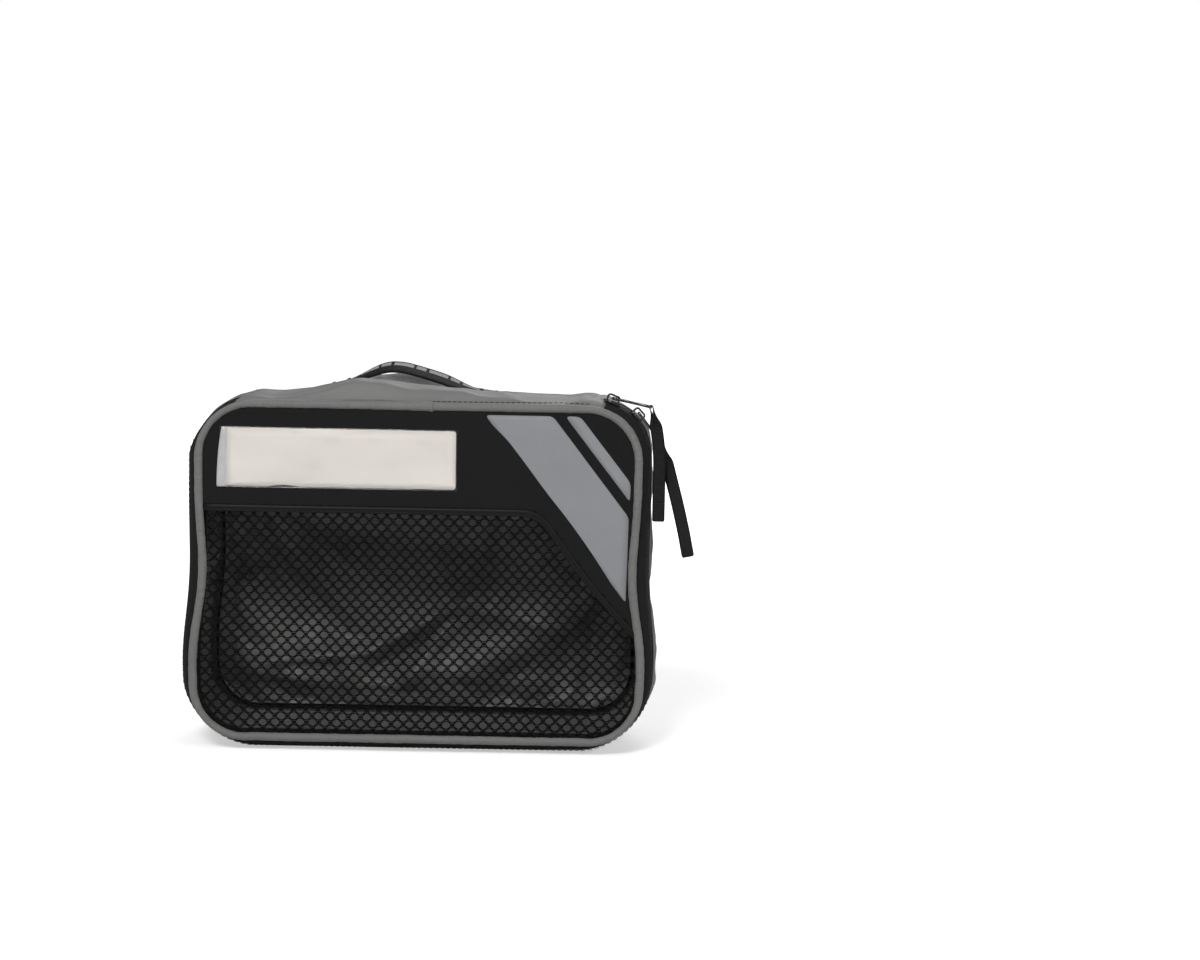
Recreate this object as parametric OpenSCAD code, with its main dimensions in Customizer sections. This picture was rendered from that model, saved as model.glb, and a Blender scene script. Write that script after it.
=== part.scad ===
// Soft packing cube for a suitcase: a box of thin fabric with a zipped front panel.
// +Z is up, the front panel faces -Y, and the origin is the middle of the base it stands on.

/* [Cube] */
// Width of the front panel over its piping
panel_w = 228; // [212:1:260]
// Height of the front panel over its piping
panel_h = 176; // [168:1:200]
// Depth of the cube over both pipings
cube_d = 80; // [78:1:110]
// Corner radius of the panel at the outside of its piping
corner_r = 29; // [28:1:34]
// How far the packed sides swell out past the piping
side_bulge = 5; // [4.6:0.1:7]
// How far the top swells up past the piping, under the handle
top_bulge = 6.5; // [5:0.5:9]
// Thickness of the gusset and panel fabric
fabric_t = 1; // [0.8:0.1:1.2]
// Diameter of the piping cord
pipe_d = 4.5; // [4:0.1:5]

/* [Front panel] */
// How far the yoke's level lower edge lies below the top of the piping
yoke_drop = 56.5; // [50:0.5:62]
// Where the level edge turns down, in from the right edge of the piping
yoke_turn_in = 52; // [46:1:64]
// How far below the top of the piping the slanted edge meets the right piping
yoke_side_drop = 118; // [100:1:124]
// Pitch of the openings in the net, which is finer on the real cube
net_pitch = 18; // [18:1:24]
// Width of net between two openings
net_bar = 3; // [2:0.5:5]
// Width of the folded hem along the yoke's lower edge
hem_w = 4; // [3:0.5:6]
// Thickness of the folded hem
hem_t = 0.6; // [0.4:0.1:1]
// Width of the seam binding inside both panels
binding_w = 7; // [5:0.5:8]
// Thickness of the seam binding
binding_t = 1.2; // [0.8:0.1:1.6]

/* [Label pocket] */
// Width of the address card
card_w = 115; // [90:1:120]
// Height of the address card
card_h = 29.5; // [20:0.5:32]
// Thickness of the address card
card_t = 0.4; // [0.3:0.1:0.6]
// Left edge of the card, in from the left edge of the piping
card_in = 18; // [16:1:24]
// Upper edge of the card, below the top of the piping
card_drop = 15; // [13:0.5:18]
// Margin of the clear window around the card
window_rim = 2; // [1.5:0.5:3]
// Length of clear window left open for a finger at the card's left end
window_mouth = 5; // [3:0.5:8]
// Thickness of the clear window film
film_t = 0.4; // [0.3:0.1:0.6]

/* [Printed bands] */
// Distance of the broad band from the yoke's slanted edge
print_in = 7; // [4:1:9]
// Width of the broad band
print_w = 27; // [20:1:30]
// Space between the broad band and the narrow one
print_space = 5; // [4:1:8]
// Width of the narrow band
print_narrow_w = 6; // [4:1:9]
// Thickness of the printed film
print_t = 0.25; // [0.2:0.05:0.4]

/* [Zip] */
// Distance of the zip's middle behind the front of the cube
zip_in = 14; // [13:0.5:16]
// How far the zip strip stands out past the piping
zip_rise = 3.8; // [3:0.1:4.4]
// Thickness of the zip tape
tape_t = 0.8; // [0.6:0.1:1]
// Width of the case half of the tape that shows
case_tape_w = 14; // [13:0.5:16]
// Gap between the two halves of the zip
zip_gap = 1.4; // [1.4:0.1:1.8]
// Height of the coil under the tape
coil_h = 1.4; // [1:0.1:1.6]
// Width of one coil row
coil_w = 1.8; // [1.4:0.1:2.2]
// Angle above the side at which the zip ends on each top corner
zip_end_angle = 76; // [74:1:78]

/* [Sliders] */
// Length of a slider along the zip
slider_l = 9; // [8:0.5:9.5]
// Width of a slider across the zip
slider_w = 8.4; // [7:0.2:8.6]
// Thickness of a slider's plates
plate_t = 1.1; // [0.9:0.1:1.3]
// Clearance between a slider and the zip
slider_gap = 0.4; // [0.3:0.1:0.6]
// Thickness of the post that joins a slider's plates
post_t = 0.8; // [0.6:0.1:0.8]
// Height of the bridge over the outer plate
bridge_h = 3.6; // [3.4:0.1:4]
// Angle of the first slider above the side of the top corner
slider_a_angle = 42; // [40:1:44]
// Angle of the second slider above the side of the top corner
slider_b_angle = 68; // [67:1:68]

/* [Pulls] */
// Length of a puller from its pin to its far end
puller_l = 20; // [18:0.5:21]
// Width of a puller
puller_w = 6; // [5.6:0.2:6.4]
// Thickness of a puller
puller_t = 1.2; // [1:0.1:1.4]
// Slope of the second puller below level
puller_b_slope = 12; // [10:1:14]
// Tilt of the first puller in from the line of the zip
puller_a_tilt = 4; // [2:1:5]
// Width of a pull ribbon
ribbon_w = 6.5; // [5.5:0.5:7]
// Thickness of a pull ribbon
ribbon_t = 1.2; // [0.8:0.1:1.2]
// Length of the first pull ribbon
ribbon_a_l = 60; // [50:1:64]
// Lean of the first ribbon out from plumb
ribbon_a_lean = 14; // [12:1:18]
// Length of the second ribbon below the corner's middle
ribbon_b_drop = 31; // [24:1:36]

/* [Handle] */
// Width of the handle webbing
web_w = 20; // [16:1:24]
// Thickness of the handle webbing
web_t = 1.6; // [1.2:0.1:2]
// Distance between the handle's sewn ends
handle_span = 63; // [56:1:80]
// Height of the gap under the handle
handle_rise = 9; // [8:0.5:12]
// Length of each sewn end
handle_tab = 14; // [12:1:18]
// Distance of the handle's middle left of the cube's middle
handle_left = 5; // [0:1:10]

/* [Hidden] */

GREY = "#6e7174";
BLACK = "#1d1e20";
NET = "#1a1b1c";
SILVER = "#8b8d90";
round_fn = 96;
small_fn = 24;

// Clearance of the hinged front panel to the fixed top gusset
hinge_gap = 0.3;
pipe_r = pipe_d / 2;
corner_x = panel_w / 2 - corner_r;
mid_z = side_bulge + panel_h / 2;
corner_dz = panel_h / 2 - corner_r;
front_y = -cube_d / 2;
seam_y = cube_d / 2 - pipe_d;
panel_y = cube_d / 2 - pipe_r;

// Section of the swollen sides: each point is [depth, distance out from the corner's middle]
seam_n = corner_r - pipe_r;
zip_n = corner_r + zip_rise;
bulge_n = corner_r + side_bulge;
zip_y = front_y + zip_in;
zip_flat = slider_w / 2 + 1.3;
tape_end_y = zip_y + case_tape_w;
back_turn_y = seam_y - 15.5;
SECTION = [
    [-seam_y, seam_n],
    [-seam_y + 1.6, seam_n + 0.68 * (zip_n - seam_n)],
    [zip_y - zip_flat, zip_n],
    [zip_y + zip_flat, zip_n],
    [tape_end_y, bulge_n],
    [back_turn_y, bulge_n],
    [seam_y - 8, bulge_n - 1.2],
    [seam_y - 2.5, bulge_n - 3.6],
    [seam_y, seam_n]];

// Height of the flat middle of the top, which carries the handle
crown_z = mid_z + corner_dz + corner_r + top_bulge;
panel_half = fabric_t / 2;
skin_y = -panel_y - panel_half;
inset_r = corner_r - pipe_d;

// ---------- Shapes shared by the seams that run around the cube ----------

// Points of SECTION between two depths, with both ends worked out
function stretch(y1, y2) = concat([y1], [for (p = SECTION) if (p[0] > y1 && p[0] < y2) p[0]], [y2]);
function out_at(y) = lookup(y, SECTION);

// A strip of fabric between two depths, t thick, under the swollen outer face
module strip_section(y1, y2, t) {
    ys = stretch(y1, y2);
    back = [for (i = [len(ys) - 1 : -1 : 0]) ys[i]];
    polygon(concat([for (y = ys) [out_at(y), y]], [for (y = back) [out_at(y) - t, y]]));
}

// One rounded corner of a run, from angle a1 to a2 above the side
module corner_run(side, level, a1 = 0, a2 = 90)
    translate([side * corner_x, 0, mid_z + level * corner_dz])
        mirror([side < 0 ? 1 : 0, 0, 0])
            mirror([0, 0, level > 0 ? 1 : 0])
                rotate([-90, 0, 0])
                    rotate_extrude(angle = a2 - a1, start = a1, $fn = round_fn) children();

module side_run(side)
    mirror([side < 0 ? 1 : 0, 0, 0])
        translate([corner_x, 0, mid_z - corner_dz])
            linear_extrude(2 * corner_dz) children();

module level_run(level)
    translate([0, 0, mid_z])
        mirror([0, 0, level < 0 ? 1 : 0])
            translate([corner_x, 0, corner_dz])
                rotate([0, -90, 0]) linear_extrude(2 * corner_x) children();

// Left side, bottom and right side, up to where the zip ends on the top corners
module zip_run() {
    for (side = [-1, 1]) {
        side_run(side) children();
        corner_run(side, -1) children();
        corner_run(side, 1, 0, zip_end_angle) children();
    }
    level_run(-1) children();
}

module top_run() {
    level_run(1) children();
    for (side = [-1, 1]) corner_run(side, 1, zip_end_angle, 90) children();
}

module full_run() {
    for (side = [-1, 1]) {
        side_run(side) children();
        corner_run(side, -1) children();
        corner_run(side, 1) children();
    }
    level_run(-1) children();
    level_run(1) children();
}

// Outline of a panel in the X-Z plane, with corners of radius r round the corners' middles
module panel_outline(r) {
    translate([0, mid_z]) {
        square([2 * corner_x, 2 * (corner_dz + r)], center = true);
        square([2 * (corner_x + r), 2 * corner_dz], center = true);
        for (sx = [-1, 1], sz = [-1, 1])
            translate([sx * corner_x, sz * corner_dz]) circle(r, $fn = round_fn);
    }
}

// Stands a drawing of the X-Z plane up at depth y, t thick towards the back
module upright(y, t)
    translate([0, y + t, 0]) rotate([90, 0, 0]) linear_extrude(t) children();

// ---------- Case ----------

// Section of the top gusset, as [depth, height above the corners' middles], swollen to a given height
top_flat_y = web_w / 2 + 12;
function top_section(swollen) = [
    [-seam_y + hinge_gap, out_at(-seam_y + hinge_gap)],
    [-seam_y + 1.6, out_at(-seam_y + 1.6)],
    [zip_y - zip_flat, zip_n],
    [-top_flat_y, swollen],
    [top_flat_y, swollen],
    [seam_y - 8, zip_n],
    [seam_y - 2.5, zip_n - 2.4],
    [seam_y, seam_n]];

// The same section as a closed ring: the outer face, then the inner face on the way back
function top_ring(swollen) =
    let (outer = top_section(swollen), last = len(outer) - 1)
    concat(outer, [for (i = [last : -1 : 0]) outer[i] - [0, fabric_t]]);

// Places along the top where its height changes, each with the height there
top_margin = 4;
top_steps = [
    [-corner_x, zip_n],
    [-handle_left - handle_span / 2 - handle_tab - top_margin, corner_r + top_bulge],
    [-handle_left + handle_span / 2 + handle_tab + top_margin, corner_r + top_bulge],
    [corner_x, zip_n]];

module top_middle() {
    rings = [for (step = top_steps) top_ring(step[1])];
    n = len(rings[0]);
    last = len(rings) - 1;
    polyhedron(
        points = [for (k = [0 : last], p = rings[k]) [top_steps[k][0], p[0], mid_z + corner_dz + p[1]]],
        faces = concat(
            [for (i = [0 : n / 2 - 2]) [i, n - 1 - i, n - 2 - i, i + 1]],
            [for (i = [0 : n / 2 - 2]) [for (j = [i, i + 1, n - 2 - i, n - 1 - i]) last * n + j]],
            [for (k = [0 : last - 1], i = [0 : n - 1]) [k * n + i, k * n + (i + 1) % n, (k + 1) * n + i]],
            [for (k = [0 : last - 1], i = [0 : n - 1])
                [(k + 1) * n + i, k * n + (i + 1) % n, (k + 1) * n + (i + 1) % n]]));
}

module top_gusset()
    color(GREY) {
        top_middle();
        for (side = [-1, 1])
            corner_run(side, 1, zip_end_angle, 90) polygon([for (p = top_ring(zip_n)) [p[1], p[0]]]);
    }

module side_gusset()
    color(GREY) zip_run() strip_section(tape_end_y, seam_y, fabric_t);

module back_panel()
    color(GREY) upright(panel_y - panel_half, fabric_t) panel_outline(inset_r);

module piping(y)
    full_run() translate([seam_n, y]) circle(pipe_r, $fn = small_fn);

module back_piping()
    color(SILVER) piping(panel_y);

module binding(y)
    upright(y, binding_t) difference() {
        panel_outline(inset_r);
        panel_outline(inset_r - binding_w);
    }

module back_binding()
    color(BLACK) binding(panel_y - panel_half - binding_t);

module case_zip_tape()
    color(BLACK) zip_run() strip_section(zip_y + zip_gap / 2, tape_end_y, tape_t);

module coil_section(y1)
    translate([zip_n - tape_t - coil_h, y1]) square([coil_h, coil_w]);

module case_zip_coil()
    color(BLACK) zip_run() coil_section(zip_y + zip_gap / 2);

// ---------- Handle: one length of webbing, sewn flat at both ends ----------

arch_r = (pow(handle_span / 2, 2) + pow(handle_rise, 2)) / (2 * handle_rise);

module handle_outline() {
    for (side = [-1, 1])
        translate([side > 0 ? handle_span / 2 : -handle_span / 2 - handle_tab, 0]) square([handle_tab, web_t]);
    intersection() {
        translate([0, handle_rise - arch_r]) difference() {
            circle(arch_r + web_t, $fn = round_fn);
            circle(arch_r, $fn = round_fn);
        }
        translate([-handle_span / 2 - web_t, 0]) square([handle_span + 2 * web_t, handle_rise + web_t]);
    }
}

module handle()
    color(BLACK) translate([-handle_left, 0, crown_z]) upright(-web_w / 2, web_w) handle_outline();

// Two dense rows of thread across each sewn end
bartack_w = 1.5;
bartack_t = 0.4;

module handle_bartacks()
    color(BLACK)
        for (side = [-1, 1], row = [0.25, 0.75])
            translate([side * (handle_span / 2 + row * handle_tab) - handle_left - bartack_w / 2,
                       -web_w / 2 + 1, crown_z + web_t])
                cube([bartack_w, web_w - 2, bartack_t]);

// ---------- Front panel ----------

wide = panel_w;
top_z = mid_z + panel_h / 2;
yoke_edge_z = top_z - yoke_drop;
yoke_side_z = top_z - yoke_side_drop;
yoke_turn_x = panel_w / 2 - yoke_turn_in;
card_x = card_in - panel_w / 2;
card_z = top_z - card_drop - card_h;

// Direction of the yoke's slanted edge, from the right seam up to where it turns level
slant = atan2(yoke_edge_z - yoke_side_z, yoke_turn_x - corner_x - inset_r);

// Everything above the yoke's lower edge, moved down by drop
module above_yoke_edge(drop = 0)
    polygon([[-wide, yoke_edge_z - drop], [yoke_turn_x - drop / 2, yoke_edge_z - drop],
             [corner_x + inset_r, yoke_side_z - drop * 1.6], [wide, yoke_side_z - drop * 1.6],
             [wide, panel_h * 2], [-wide, panel_h * 2]]);

module yoke_panel()
    color(BLACK) upright(skin_y, fabric_t) intersection() {
        panel_outline(inset_r);
        above_yoke_edge();
    }

// Whether a point of the net lies clear of the seam, the hem and the slanted edge
net_margin = 5;
function clear_of_seam(x, z) =
    norm([max(abs(x) - corner_x, 0), max(abs(z - mid_z) - corner_dz, 0)]) < inset_r - net_margin;
function clear_of_hem(x, z) =
    z < yoke_edge_z - hem_w - net_margin &&
    (x - yoke_turn_x) * -sin(slant) + (z - yoke_edge_z) * cos(slant) > hem_w + net_margin;
function is_net(x, z) = clear_of_seam(x, z) && clear_of_hem(x, z);

module net_openings() {
    side = net_pitch - net_bar;
    columns = floor(panel_w / net_pitch / 2);
    rows = floor(panel_h / net_pitch);
    for (i = [-columns : columns - 1], j = [0 : rows]) {
        x = (i + 0.5) * net_pitch;
        z = side_bulge + pipe_d + net_margin + (j + 0.5) * net_pitch;
        corners = [for (sx = [-1, 1], sz = [-1, 1]) if (is_net(x + sx * side / 2, z + sz * side / 2)) 1];
        if (len(corners) == 4) translate([x, z]) square(side, center = true);
    }
}

module mesh_panel()
    color(NET) upright(skin_y, fabric_t) difference() {
        panel_outline(inset_r);
        above_yoke_edge();
        net_openings();
    }

module yoke_hem()
    color(BLACK) upright(skin_y - hem_t, hem_t) intersection() {
        panel_outline(inset_r);
        difference() {
            above_yoke_edge(hem_w);
            above_yoke_edge();
        }
    }

// A broad and a narrow band, parallel to the yoke's slanted edge, across the upper right corner
print_margin = 2;

module print_bands()
    color(SILVER) upright(skin_y - print_t, print_t) intersection() {
        panel_outline(inset_r - print_margin);
        above_yoke_edge(-print_margin);
        for (band = [[print_in, print_w], [print_in + print_w + print_space, print_narrow_w]])
            translate([corner_x + inset_r, yoke_side_z]) rotate([0, 0, slant])
                translate([0, -band[0] - band[1]]) square([panel_w, band[1]]);
    }

module card_area(rim = 0, left = 0)
    translate([card_x - rim - left, card_z - rim])
        square([card_w + 2 * rim + left, card_h + 2 * rim]);

module label_card()
    color("#d9d7d1") upright(skin_y - card_t, card_t) card_area();

// Clear film over the card, welded to the yoke above, below and right of it
card_play = 0.2;

module label_window()
    color([0.8, 0.82, 0.84, 0.35]) {
        upright(skin_y - card_t - card_play - film_t, film_t) card_area(window_rim, window_mouth);
        upright(skin_y - card_t - card_play, card_t + card_play) difference() {
            card_area(window_rim, window_mouth);
            card_area(card_play, window_rim + window_mouth);
        }
    }

module front_piping()
    color(SILVER) piping(-panel_y);

module front_binding()
    color(BLACK) binding(skin_y + fabric_t);

module lid_zip_tape()
    color(BLACK) zip_run() strip_section(-seam_y, zip_y - zip_gap / 2, tape_t);

module lid_zip_coil()
    color(BLACK) zip_run() coil_section(zip_y - zip_gap / 2 - coil_w);

// ---------- Sliders and pulls, on the top right corner ----------

// Local axes on the zip: +X out from the tape, +Y to the back, -Z down the zip
module on_zip(angle)
    translate([corner_x, zip_y, mid_z + corner_dz])
        rotate([0, -angle, 0]) translate([zip_n, 0, 0]) children();

inner_drop = tape_t + coil_h + slider_gap + 0.5;
window_low = 0.5;
bridge_bar = 1;
bridge_l = 7;
bridge_w = 2.4;
pin_out = slider_gap + plate_t + (bridge_h - bridge_bar + window_low) / 2;
pin_r = 0.6;
plate_round = 1.5;

module slider_plate(l, w)
    rotate([0, 90, 0]) linear_extrude(plate_t) {
        square([l - 2 * plate_round, w], center = true);
        square([l, w - 2 * plate_round], center = true);
        for (sx = [-1, 1], sy = [-1, 1])
            translate([sx * (l / 2 - plate_round), sy * (w / 2 - plate_round)])
                circle(plate_round, $fn = small_fn);
    }

// Outer plate, bridge over it, post between the two halves and a foot under the case half
module slider(angle)
    color("#26272a") on_zip(angle) {
        translate([slider_gap, 0, 0]) slider_plate(slider_l, slider_w);
        translate([slider_gap + plate_t, -bridge_w / 2, -bridge_l / 2]) difference() {
            cube([bridge_h, bridge_w, bridge_l]);
            translate([window_low, -1, bridge_bar])
                cube([bridge_h - bridge_bar - window_low, bridge_w + 2, bridge_l - 2 * bridge_bar]);
        }
        translate([-inner_drop, -post_t / 2, -slider_l / 3])
            cube([inner_drop + slider_gap, post_t, slider_l * 2 / 3]);
        translate([-inner_drop - plate_t, -post_t / 2, -slider_l / 2])
            cube([plate_t, slider_w / 2 + post_t / 2, slider_l]);
    }

module slider_a() slider(slider_a_angle);
module slider_b() slider(slider_b_angle);

eye_l = 2;
eye_bar = 0.8;
arm_gap = 0.3;

// A flat bar with a pin through the slider's bridge at one end and a ribbon eye at the other
module puller(angle, turn)
    color("#26272a") on_zip(angle) translate([pin_out, 0, 0]) rotate([0, turn, 0]) {
        rotate([-90, 0, 0]) cylinder(r = pin_r, h = puller_w, center = true, $fn = small_fn);
        difference() {
            translate([-puller_t / 2, -puller_w / 2, -puller_l]) cube([puller_t, puller_w, puller_l]);
            translate([-puller_t, -bridge_w / 2 - arm_gap, -bridge_l / 2 - bridge_bar])
                cube([2 * puller_t, bridge_w + 2 * arm_gap, bridge_l + 2 * bridge_bar]);
            translate([-puller_t, -puller_w / 2 + 1, eye_bar - puller_l])
                cube([2 * puller_t, puller_w - 2, eye_l]);
        }
    }

// Turns about the pins, from the line down the zip to the puller's own line
turn_a = puller_a_tilt;
turn_b = puller_b_slope - (90 - slider_b_angle);

module puller_a() puller(slider_a_angle, turn_a);
module puller_b() puller(slider_b_angle, turn_b);

// Middle of the bar at a puller's end, as [x, z], which its ribbon is folded over
bar_run = puller_l - eye_bar / 2;
function pin_at(angle) = [corner_x + (zip_n + pin_out) * cos(angle),
                          mid_z + corner_dz + (zip_n + pin_out) * sin(angle)];
function bar_at(angle, turn) = pin_at(angle) + bar_run * [sin(angle - turn), -cos(angle - turn)];
bar_a = bar_at(slider_a_angle, turn_a);
bar_b = bar_at(slider_b_angle, turn_b);

// The fold of ribbon round the bar: a square sleeve, narrower than the eye
fold_w = puller_w - 2 - 2 * arm_gap;
fold_in = [puller_t + 2 * arm_gap, eye_bar + 2 * arm_gap];
fold_wall = 0.55;
fold_out = fold_in + [2 * fold_wall, 2 * fold_wall];

module ribbon_fold(angle, turn, bar)
    translate([bar[0], zip_y, bar[1]]) rotate([0, -(angle - turn), 0]) difference() {
        cube([fold_out[0], fold_w, fold_out[1]], center = true);
        cube([fold_in[0], fold_w + 2, fold_in[1]], center = true);
    }

// First ribbon: hangs below its puller and leans out
module ribbon_a()
    color(BLACK) {
        ribbon_fold(slider_a_angle, turn_a, bar_a);
        translate([bar_a[0], zip_y - ribbon_t / 2, bar_a[1]]) rotate([0, -ribbon_a_lean, 0])
            translate([-fold_out[0] / 2, 0, -fold_in[1] / 2 - ribbon_a_l])
                cube([ribbon_w, ribbon_t, ribbon_a_l]);
    }

// Second ribbon: falls in front of the pulls, outside the corner, then hangs plumb
ribbon_b_clear = 1.2;
ribbon_b_in = corner_x + zip_n + ribbon_b_clear;
ribbon_b_y = zip_y - slider_w / 2 - slider_gap - ribbon_t;
fold_drop = 1.2;
ribbon_b_top = bar_b[1] + fold_drop;

module ribbon_b()
    color(BLACK) {
        ribbon_fold(slider_b_angle, turn_b, bar_b);
        translate([bar_b[0] + fold_in[1] / 2, ribbon_b_y, bar_b[1] - fold_drop / 2])
            cube([fold_drop, zip_y + fold_w / 2 - ribbon_b_y, fold_drop]);
        upright(ribbon_b_y, ribbon_t)
            polygon([[bar_b[0] - ribbon_w / 2, ribbon_b_top], [bar_b[0] + ribbon_w / 2, ribbon_b_top],
                     [ribbon_b_in + ribbon_w, mid_z + corner_dz],
                     [ribbon_b_in + ribbon_w, mid_z + corner_dz - ribbon_b_drop],
                     [ribbon_b_in, mid_z + corner_dz - ribbon_b_drop],
                     [ribbon_b_in, mid_z + corner_dz]]);
    }

// ---------- Drawing ----------

top_gusset();
side_gusset();
back_panel();
back_piping();
back_binding();
case_zip_tape();
case_zip_coil();
handle();
handle_bartacks();
mesh_panel();
yoke_panel();
yoke_hem();
print_bands();
label_card();
label_window();
front_piping();
front_binding();
lid_zip_tape();
lid_zip_coil();
slider_a();
puller_a();
ribbon_a();
slider_b();
puller_b();
ribbon_b();
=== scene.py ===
import math

import bmesh
import bpy
import numpy as np
from mathutils import Matrix, Vector, noise
from mathutils.geometry import delaunay_2d_cdt


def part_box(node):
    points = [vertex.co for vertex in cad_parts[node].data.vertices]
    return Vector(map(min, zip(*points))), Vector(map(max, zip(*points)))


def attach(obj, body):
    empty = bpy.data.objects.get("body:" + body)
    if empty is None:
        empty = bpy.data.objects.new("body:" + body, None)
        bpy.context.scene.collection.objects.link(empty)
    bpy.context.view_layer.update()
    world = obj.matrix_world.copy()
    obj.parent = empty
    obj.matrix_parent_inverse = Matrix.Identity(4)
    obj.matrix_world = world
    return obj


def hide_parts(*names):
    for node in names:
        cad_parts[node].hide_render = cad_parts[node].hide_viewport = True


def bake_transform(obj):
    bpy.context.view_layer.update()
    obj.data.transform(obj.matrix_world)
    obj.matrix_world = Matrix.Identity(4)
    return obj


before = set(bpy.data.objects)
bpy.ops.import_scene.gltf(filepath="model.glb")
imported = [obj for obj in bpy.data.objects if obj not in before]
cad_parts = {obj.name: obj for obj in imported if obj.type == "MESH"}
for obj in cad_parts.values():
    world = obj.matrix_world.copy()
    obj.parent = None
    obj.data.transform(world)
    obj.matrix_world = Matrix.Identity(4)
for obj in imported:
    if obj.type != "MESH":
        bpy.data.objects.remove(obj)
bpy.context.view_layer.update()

mm = 0.001

# ---------- Back panel ----------
# One cut of thin grey nylon, proofed and so a little shiny, sewn in all round at the back piping.
# It is cut full, so soft folds run across it, seen from behind and through the net.

front_low, front_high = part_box("front_piping")
_, back_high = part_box("back_piping")
corner_r = 29 * mm
pipe_r = (front_high.y - front_low.y) / 2
corner_x = front_high.x - corner_r
mid_z = (front_low.z + front_high.z) / 2
corner_dz = (front_high.z - front_low.z) / 2 - corner_r
seam_n = corner_r - pipe_r
front_seam_y = front_low.y + pipe_r
back_seam_y = back_high.y - pipe_r


def seam_runs():
    """The line through the corners' middles, clockwise from the top: (length, x, z, angle out, bends)."""
    runs, x, z, angle = [], 0.0, mid_z + corner_dz, 90
    for straight in (corner_x, 2 * corner_dz, 2 * corner_x, 2 * corner_dz, corner_x):
        runs.append((straight, x, z, angle, False))
        x += straight * math.cos(math.radians(angle - 90))
        z += straight * math.sin(math.radians(angle - 90))
        runs.append((math.pi / 2 * seam_n, x, z, angle, True))
        angle -= 90
    return runs[:-1]


RUNS = seam_runs()
seam_length = sum(run[0] for run in RUNS)


def station(s):
    """Point and outward angle at s along the seam from the top's middle."""
    s %= seam_length
    for length, x, z, angle, bends in RUNS:
        if s <= length:
            break
        s -= length
    if bends:
        return x, z, math.radians(angle - 90 * s / length)
    return (x + s * math.cos(math.radians(angle - 90)),
            z + s * math.sin(math.radians(angle - 90)), math.radians(angle))


def stations(start, end, step):
    return np.linspace(start, end, max(2, round((end - start) / step) + 1))


def swept(places, section):
    """Points of a section, a list of (out, y) or a function of the station, along the seam."""
    rows = []
    for s in places:
        x, z, angle = station(s)
        c, d = math.cos(angle), math.sin(angle)
        profile = section(s) if callable(section) else section
        rows.append([(x + n * c, y, z + n * d) for n, y in profile])
    return np.array(rows)


waist_in, waist_z, waist_half = 2.6 * mm, 92 * mm, 27 * mm
hips_out, hips_z, hips_half = 3.2 * mm, 46 * mm, 30 * mm
corner_droop, corner_pull, corner_fill, back_slump = 2.0 * mm, 2.6 * mm, 1.4 * mm, 2.6 * mm


def eased(values, start, end):
    """0 up to start, 1 from end on, and a soft step between."""
    t = np.clip((np.asarray(values, float) - start) / (end - start), 0, 1)
    return t * t * (3 - 2 * t)


def settled(points):
    """
    The soft cube stands a little slack: the waist draws in, the hips swell, the top corners droop and
    the back slumps. The zip draws in round three corners; the sliders hold it out round the fourth.
    """
    p = np.array(points, float)
    x, y, z = p[..., 0], p[..., 1], p[..., 2]
    share = np.interp(y, [front_seam_y, -33 * mm, -12 * mm, 20 * mm, back_seam_y],
                      [1, 0.35, 0.15, 0.15, 0.6])
    draw = waist_in * np.exp(-((z - waist_z) / waist_half) ** 2) * share - \
        0.9 * hips_out * np.exp(-((z - hips_z) / hips_half) ** 2)
    past, above = np.maximum(np.abs(x) - corner_x, 0), np.maximum(np.abs(z - mid_z) - corner_dz, 0)
    out, angle = np.hypot(past, above), np.arctan2(above, past)
    beyond = eased(out, seam_n + 1 * mm, seam_n + 5 * mm)
    by_corner = np.where(x < 0, 1 + 0.5 * (z > mid_z), z < mid_z)
    pull = corner_pull * np.sin(2 * angle) * beyond * (past > 0) * by_corner
    pull -= corner_fill * np.sin(2 * angle) * eased(out, 0, 20 * mm) * (past > 0) * (z < mid_z)
    droop = corner_droop * eased(angle, math.radians(40), math.radians(76)) * beyond * \
        eased(np.abs(x), corner_x - 9 * mm, corner_x) * (z > mid_z)
    slump = back_slump * eased(y, -15 * mm, back_seam_y) * eased(z, 40 * mm, front_high.z)
    p[..., 0] -= draw * x / front_high.x + pull * np.cos(angle) * np.sign(x)
    p[..., 2] -= droop + slump + pull * np.sin(angle) * np.sign(z - mid_z)
    return p


def rough(points, size, seed):
    """Smooth noise from -1 to 1 at each point, with features of about that size."""
    flat = np.asarray(points, float).reshape(-1, 3)
    shift = Vector((seed * 7.3, seed * 3.1, seed * 5.7))
    values = [noise.noise(Vector(p) / size + shift) for p in flat]
    return np.array(values).reshape(np.asarray(points).shape[:-1]) * 1.6


def make(name, points, faces, uvs, material):
    """A smooth-shaded mesh object; uvs holds one pair for each face corner, in metres."""
    mesh = bpy.data.meshes.new(name)
    mesh.from_pydata(np.asarray(points, float).reshape(-1, 3).tolist(), [], faces)
    layer = mesh.uv_layers.new(name="cloth")
    layer.data.foreach_set("uv", np.asarray(uvs, np.float32).ravel())
    mesh.shade_smooth()
    mesh.materials.append(material)
    obj = bpy.data.objects.new(name, mesh)
    bpy.context.scene.collection.objects.link(obj)
    return obj


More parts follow.
